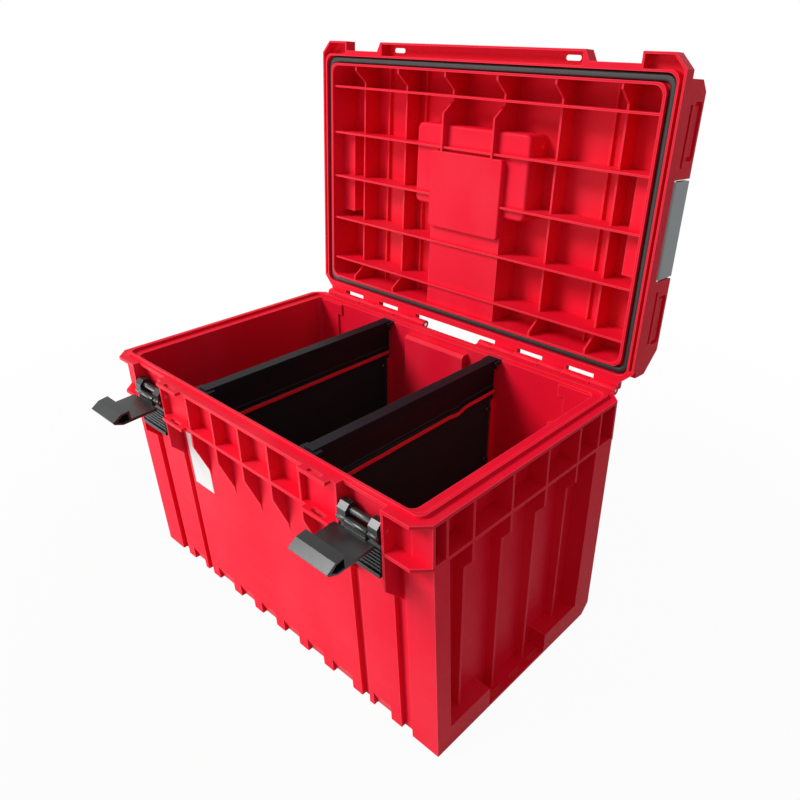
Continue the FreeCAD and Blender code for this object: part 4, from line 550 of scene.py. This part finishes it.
# %% Woven cloth
WAVE_RADIANS = 20
WAVE_BEND = 0.4
WAVE_DETAIL = 1.0
FLUFF_PER_THREAD = 0.35
WEAVE_STRENGTH = 0.45
WEAVE_DEPTH = 0.25
CLOTH_SHINE = 0.2
CLOTH_SHEEN = 0.06


def woven(name, deep, bright, pitch, roughness):
    """A plain weave in the plane of Y and Z, with a thread every pitch metres."""
    made, tree, shader, place = start_finish(name)
    scale = 2 * math.pi / (WAVE_RADIANS * pitch)
    sets = []
    for axis in ("Y", "Z"):
        wave = add_node(
            tree,
            "ShaderNodeTexWave",
            {"Vector": place, "Scale": scale, "Distortion": WAVE_BEND, "Detail": WAVE_DETAIL},
            bands_direction=axis,
        )
        sets.append(wave.outputs["Fac"])
    threads = combine(tree, "MULTIPLY", *sets)
    fluff = noise_at(tree, place, FLUFF_PER_THREAD / pitch, detail=3.0)
    height = combine(tree, "ADD", threads, fluff)
    tree.links.new(mix_colour(tree, threads, deep, bright), shader.inputs["Base Color"])
    add_relief(tree, shader, height, WEAVE_STRENGTH, WEAVE_DEPTH * pitch)
    shader.inputs["Roughness"].default_value = roughness
    shader.inputs["Specular IOR Level"].default_value = CLOTH_SHINE
    shader.inputs["Sheen Weight"].default_value = CLOTH_SHEEN
    print(name, "threads to the metre:", round(1 / pitch))
    return made


# %% Cloth, tape and thread
CLOTH_DEEP = (0.004, 0.004, 0.004, 1)
CLOTH_BRIGHT = (0.012, 0.011, 0.012, 1)
TAPE_DEEP = (0.7, 0.008, 0.02, 1)
TAPE_BRIGHT = (0.95, 0.03, 0.05, 1)
THREAD_DEEP = (0.012, 0.014, 0.014, 1)
THREAD_BRIGHT = (0.035, 0.038, 0.038, 1)

cloth_finish = woven("pocket_black_cloth", CLOTH_DEEP, CLOTH_BRIGHT, pitch=0.0009, roughness=0.85)
tape_finish = woven("binding_red_tape", TAPE_DEEP, TAPE_BRIGHT, pitch=0.0006, roughness=0.6)
thread_finish = woven("seam_grey_thread", THREAD_DEEP, THREAD_BRIGHT, pitch=0.0004, roughness=0.7)

# %% [markdown]
# ## Finishes on the solids
#
# Every solid of the case has one finish. They could be set piece by piece, but the model's record already
# names a material slot for each piece, so a table from slot to finish covers them all. Only the boards of
# the dividers go their own way: they share a slot with the rails, but have a duller skin.

# %% Finishes on the solids
FINISHES = {
    "shell_red": red_finish,
    "latch_grey": latch_finish,
    "lock_grey": lock_finish,
    "pin_steel": steel_finish,
    "seal_rubber": rubber_finish,
    "divider_black": rail_finish,
    "cloth_black": cloth_finish,
    "binding_red": tape_finish,
    "label_white": film_finish,
}
slot_of = {row["node"]: row["material_slot"] for row in frame["record"]["subparts"]}
for name, piece in nodes.items():
    finish = board_finish if name.endswith("_board") else FINISHES[slot_of[name]]
    if not piece.material_slots:
        piece.data.materials.append(finish)
    for slot in piece.material_slots:
        slot.material = finish
print("finishes on", len(nodes), "solids")

# %% [markdown]
# ## Building soft pieces
#
# The seal, the cloth and the tape are soft, with shapes that a solid can't give. They could be modelled by
# hand or by a cloth simulation, but these pieces lie flat or follow a line, so a formula for their points
# is shorter and always gives the same shape. One helper lays a closed skin over rows of points, each row
# once round the piece. Another hangs the finished piece on the body that it moves with.

# %% Building soft pieces


def piece_from(form, name, finish):
    """Turns a finished form into a smooth piece with its material."""
    for face in form.faces:
        face.smooth = True
    mesh = bpy.data.meshes.new(name)
    form.to_mesh(mesh)
    form.free()
    mesh.materials.append(finish)
    piece = bpy.data.objects.new(name, mesh)
    bpy.context.collection.objects.link(piece)
    return piece


def skin(name, rows, finish, endless=False):
    """A closed skin over rows of points; endless joins the last row to the first, or else caps close both."""
    form = bmesh.new()
    lines = [[form.verts.new(point) for point in row] for row in rows]
    pairs = list(zip(lines, lines[1:]))
    if endless:
        pairs.append((lines[-1], lines[0]))
    for line, after in pairs:
        for j in range(len(line)):
            k = (j + 1) % len(line)
            form.faces.new((line[j], line[k], after[k], after[j]))
    if not endless:
        form.faces.new(lines[0][::-1])
        form.faces.new(lines[-1])
    bmesh.ops.recalc_face_normals(form, faces=form.faces)
    return piece_from(form, name, finish)


def on_body(piece, body, slot, *replaced):
    """Hangs a piece on its body and hides the solids it takes the place of."""
    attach(piece, body)
    if replaced:
        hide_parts(*replaced)
    print(piece.name, "on", body, "points:", len(piece.data.vertices))
    return piece


# %% [markdown]
# ## Seal in the lid
#
# The seal is a foam cord pressed into a groove round the lid. A curve with a round bevel could stand for it,
# but the cord is domed on its face and pinched where the groove holds it. So that profile is carried round
# the groove's middle line, a rectangle with rounded corners. It is built as if the lid were closed and then
# swung open about the hinge.

# %% Path of the seal
SEAL_HALF = (0.27425, 0.16575)
SEAL_CORNER = 0.0105
SEAL_STEPS = 8


def rounded_path(half_x, half_y, radius, steps):
    """Points and outward directions round a rectangle with rounded corners."""
    path = []
    for number, (sx, sy) in enumerate(((1, 1), (-1, 1), (-1, -1), (1, -1))):
        middle = Vector((sx * (half_x - radius), sy * (half_y - radius), 0))
        for step in range(steps + 1):
            angle = math.pi / 2 * (number + step / steps)
            out = Vector((math.cos(angle), math.sin(angle), 0))
            path.append((middle + radius * out, out))
    return path


seal_path = rounded_path(*SEAL_HALF, SEAL_CORNER, SEAL_STEPS)
print("seal path:", len(seal_path), "points")

# %% Seal in the lid
LID_OPEN = math.radians(94.2)
HINGE = Vector((0, 0.190, 0.326))
SEAL_TOP = 0.337
SEAL_CREST = 0.0047
SEAL_FLANK = [
    (0.0046, 0.0),
    (0.0046, 0.0012),
    (0.0040, 0.0018),
    (0.0042, 0.0028),
    (0.0034, 0.0039),
    (0.0018, 0.0045),
]
inner_flank = [(-across, down) for across, down in SEAL_FLANK]
seal_profile = inner_flank + [(0.0, SEAL_CREST)] + SEAL_FLANK[::-1]
lid_swing = Matrix.Translation(HINGE) @ Matrix.Rotation(-LID_OPEN, 4, "X") @ Matrix.Translation(-HINGE)

seal_rows = []
for point, out in seal_path:
    row = [point + across * out + Vector((0, 0, SEAL_TOP - down)) for across, down in seal_profile]
    seal_rows.append([lid_swing @ p for p in row])
seal = skin("lid_seal", seal_rows, rubber_finish, endless=True)
on_body(seal, "lid", "seal_rubber", "lid_gasket")

# %% [markdown]
# ## Cloth pockets
#
# Each divider has a flat pocket of black cloth, sewn to the board along its sides and foot. It lies close,
# but it is cloth: the middle stands a little off the board, the foot has a few soft creases, and the seams
# pull the edge down. A cloth simulation could find this, but it is slow to steer. A grid of points whose
# height is a smooth swell plus slow noise puts the creases where they belong.

# %% Swell of a pocket
POCKET_FOOT = 0.040
SEAM_THICK = 0.0011
SEAM_WIDE = 0.006
SEAM_PULL = 0.0004
SWELL_REACH = 0.035
SWELL_HIGH = 0.0008
CREASE_HIGH = 0.0006
SLOW_CREASE = (14, 9)
FINE_CREASE = (40, 22)
FINE_SHARE = 0.5
FINE_SHIFT = 5


def swell(inset, reach):
    """Rises smoothly from nought to one within the given reach."""
    rise = min(1.0, max(0.0, inset / reach))
    return rise * rise * (3 - 2 * rise)


def pocket_height(y, z, half, seed):
    """How far the cloth's face stands off the board."""
    inset = min(half - abs(y), z - POCKET_FOOT)
    body = swell(inset - SEAM_WIDE, SWELL_REACH)
    pull = swell(inset, SEAM_WIDE) * SEAM_PULL
    crease = noise.noise(Vector((y * SLOW_CREASE[0] + seed, z * SLOW_CREASE[1], seed)))
    fine = noise.noise(Vector((y * FINE_CREASE[0], z * FINE_CREASE[1], seed + FINE_SHIFT)))
    crease += FINE_SHARE * fine
    return SEAM_THICK + pull + body * (SWELL_HIGH + CREASE_HIGH * crease)


print("a pocket swells by about", SWELL_HIGH, "m")

# %% Cloth pockets
POCKET_TOP = 0.281
POCKET_ENDS = (0.1456, 0.1522)
POCKET_THICK = 0.0030
POCKET_BACK = 0.0002
POCKET_FACES = {"left": -0.101, "right": 0.104}
CREASE_SEEDS = {"left": 3.7, "right": 11.8}
COLUMNS = 72
ROWS = 56


def pocket(side):
    """A closed panel of cloth: its face swells and its back lies flat on the board."""
    board_face = POCKET_FACES[side]
    rows = []
    for i in range(ROWS + 1):
        z = POCKET_FOOT + (POCKET_TOP - POCKET_FOOT) * i / ROWS
        half = POCKET_ENDS[0] + (POCKET_ENDS[1] - POCKET_ENDS[0]) * i / ROWS
        face = []
        for j in range(COLUMNS + 1):
            y = half * (2 * j / COLUMNS - 1)
            height = min(POCKET_THICK, pocket_height(y, z, half, CREASE_SEEDS[side]))
            face.append(Vector((board_face + height, y, z)))
        back = [Vector((board_face + POCKET_BACK, point.y, point.z)) for point in face]
        rows.append(face + back[::-1])
    return skin(f"pocket_{side}", rows, cloth_finish)


pockets = {}
for side in SIDES:
    pockets[side] = pocket(side)
    on_body(pockets[side], f"divider_{side}", "cloth_black", f"divider_{side}_pocket")

# %% [markdown]
# ## Bindings
#
# The pocket's free edge is bound with red tape, folded over it. A straight bar would do for its size, but
# its line isn't quite straight: the right-hand tape dips and steps up where the cloth has been pulled,
# which tells the eye that it is soft. So a flat oval is carried along a line whose height is a formula.

# %% Line of the tape
TAPE_END = 0.1565
TAPE_LIFT = {"left": 0.2785, "right": 0.2768}
WAVER_HIGH = 0.0004
WAVER_SCALE = 30
WAVER_SEEDS = {"left": 4, "right": 5}
TILT_HIGH = 0.00225
STEP_HIGH = 0.0026
STEP_START = 0.080
STEP_REACH = 0.022
DIP_DEEP = 0.0018
DIP_PLACE = 0.078
DIP_WIDE = 0.009


def tape_height(side, y):
    """Height of the tape's middle; the right-hand one tilts, dips and steps up."""
    waver = noise.noise(Vector((y * WAVER_SCALE, 0, WAVER_SEEDS[side])))
    height = TAPE_LIFT[side] + WAVER_HIGH * waver
    if side == "right":
        height += TILT_HIGH * y / TAPE_END
        height += STEP_HIGH * swell(y - STEP_START, STEP_REACH)
        height -= DIP_DEEP * math.exp(-(((y - DIP_PLACE) / DIP_WIDE) ** 2))
    return height


print("right tape rises to", round(tape_height("right", TAPE_END), 4), "m")

# %% Strips along the tape
TAPE_STEPS = 130


def oval(inner, thick, high, count, full_out=1.0, full_up=1.0):
    """A ring of places along X and steps along Z; powers below one make the oval fuller."""
    ring = []
    for j in range(count):
        angle = 2 * math.pi * j / count
        out = math.copysign(abs(math.cos(angle)) ** full_out, math.cos(angle))
        up = math.copysign(abs(math.sin(angle)) ** full_up, math.sin(angle))
        ring.append((inner + thick / 2 * (1 + out), high / 2 * up))
    return ring


def strip(name, side, ring, finish, rise=0.0):
    """A piece that follows the tape's line, raised above it by rise."""
    rows = []
    for i in range(TAPE_STEPS + 1):
        y = TAPE_END * (2 * i / TAPE_STEPS - 1)
        middle = tape_height(side, y) + rise
        rows.append([Vector((x, y, middle + up)) for x, up in ring])
    return skin(name, rows, finish)


print("a strip has", TAPE_STEPS, "steps of", round(2 * TAPE_END / TAPE_STEPS, 5), "m")

# %% [markdown]
# ## Stitches
#
# A row of small stitches holds the tape to the cloth. They could be bumps in the tape's material, but close
# up they have to stand out in the outline. Each is a small ball, drawn out along the tape, and all the
# stitches of one tape are one piece, because they always move together.

# %% Bindings and stitches
TAPE_HIGH = 0.0054
TAPE_THICK = 0.0026
TAPE_SINK = 0.0006
TAPE_RING = 14
TAPE_FULL_OUT = 0.6
TAPE_FULL_UP = 0.75
STITCH_PITCH = 0.0042
STITCH_LONG = 0.0026
STITCH_HIGH = 0.0007
STITCH_DROP = 0.0012


def tape_face(side):
    """Where the tape's back lies, sunk a little into the cloth."""
    return POCKET_FACES[side] + POCKET_THICK - TAPE_SINK


def binding(side):
    """The folded tape along a pocket's free edge."""
    ring = oval(tape_face(side), TAPE_THICK, TAPE_HIGH, TAPE_RING, TAPE_FULL_OUT, TAPE_FULL_UP)
    return strip(f"binding_{side}", side, ring, tape_finish)


def stitches(side):
    """A line of short raised threads, a little below the middle of the tape."""
    form = bmesh.new()
    stretch = Matrix.Diagonal((STITCH_HIGH, STITCH_LONG, STITCH_HIGH, 1))
    count = int(2 * TAPE_END / STITCH_PITCH) - 1
    for i in range(count):
        y = -TAPE_END + STITCH_PITCH * (i + 1)
        place = Vector((tape_face(side) + TAPE_THICK, y, tape_height(side, y) - STITCH_DROP))
        fitted = Matrix.Translation(place) @ stretch
        bmesh.ops.create_icosphere(form, subdivisions=2, radius=0.5, matrix=fitted)
    return piece_from(form, f"stitches_{side}", tape_finish)


# %% Sewn pockets
for side in SIDES:
    tape = on_body(binding(side), f"divider_{side}", "binding_red", f"divider_{side}_binding")
    sewn = on_body(stitches(side), f"divider_{side}", "binding_red")

# %% [markdown]
# ## Seam and studs
#
# A narrow welt runs along the board a finger's breadth above the tape, and at the rear end of each pocket
# two studs hold the cloth to the board. The welt is one more strip along the tape's line. A stud could be
# a plain disc, but a pressed head has a raised rim and a dished middle, so a profile is spun about its axis.
# The profile starts a hair's breadth off the axis, because a ring of no size would fold its faces.

# %% Seam and studs
WELT_HIGH = 0.0022
WELT_OUT = 0.0012
WELT_RISE = 0.0085
WELT_RING = 8
SPIN = 28
STUD_PROFILE = [
    (0.00005, 0.0011),
    (0.0018, 0.0012),
    (0.0027, 0.0017),
    (0.0036, 0.0020),
    (0.0045, 0.0017),
    (0.0050, 0.0009),
    (0.0050, -0.0006),
]


def welt(side):
    """The thin cord of the seam above a pocket's tape."""
    ring = oval(POCKET_FACES[side], WELT_OUT, WELT_HIGH, WELT_RING)
    return strip(f"welt_{side}", side, ring, thread_finish, WELT_RISE)


def stud(name, node):
    """A pressed head in the place of a plain solid."""
    low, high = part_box(node)
    middle = (Vector(low) + Vector(high)) / 2
    rows = []
    for radius, out in STUD_PROFILE:
        row = []
        for j in range(SPIN):
            angle = 2 * math.pi * j / SPIN
            y = middle.y + radius * math.cos(angle)
            z = middle.z + radius * math.sin(angle)
            row.append(Vector((low[0] + out, y, z)))
        rows.append(row)
    return skin(name, rows, latch_finish)


for side in SIDES:
    on_body(welt(side), f"divider_{side}", "divider_black")
    for spot in ("upper", "lower"):
        node = f"divider_{side}_stud_{spot}"
        on_body(stud(f"stud_{side}_{spot}", node), f"divider_{side}", "divider_black", node)
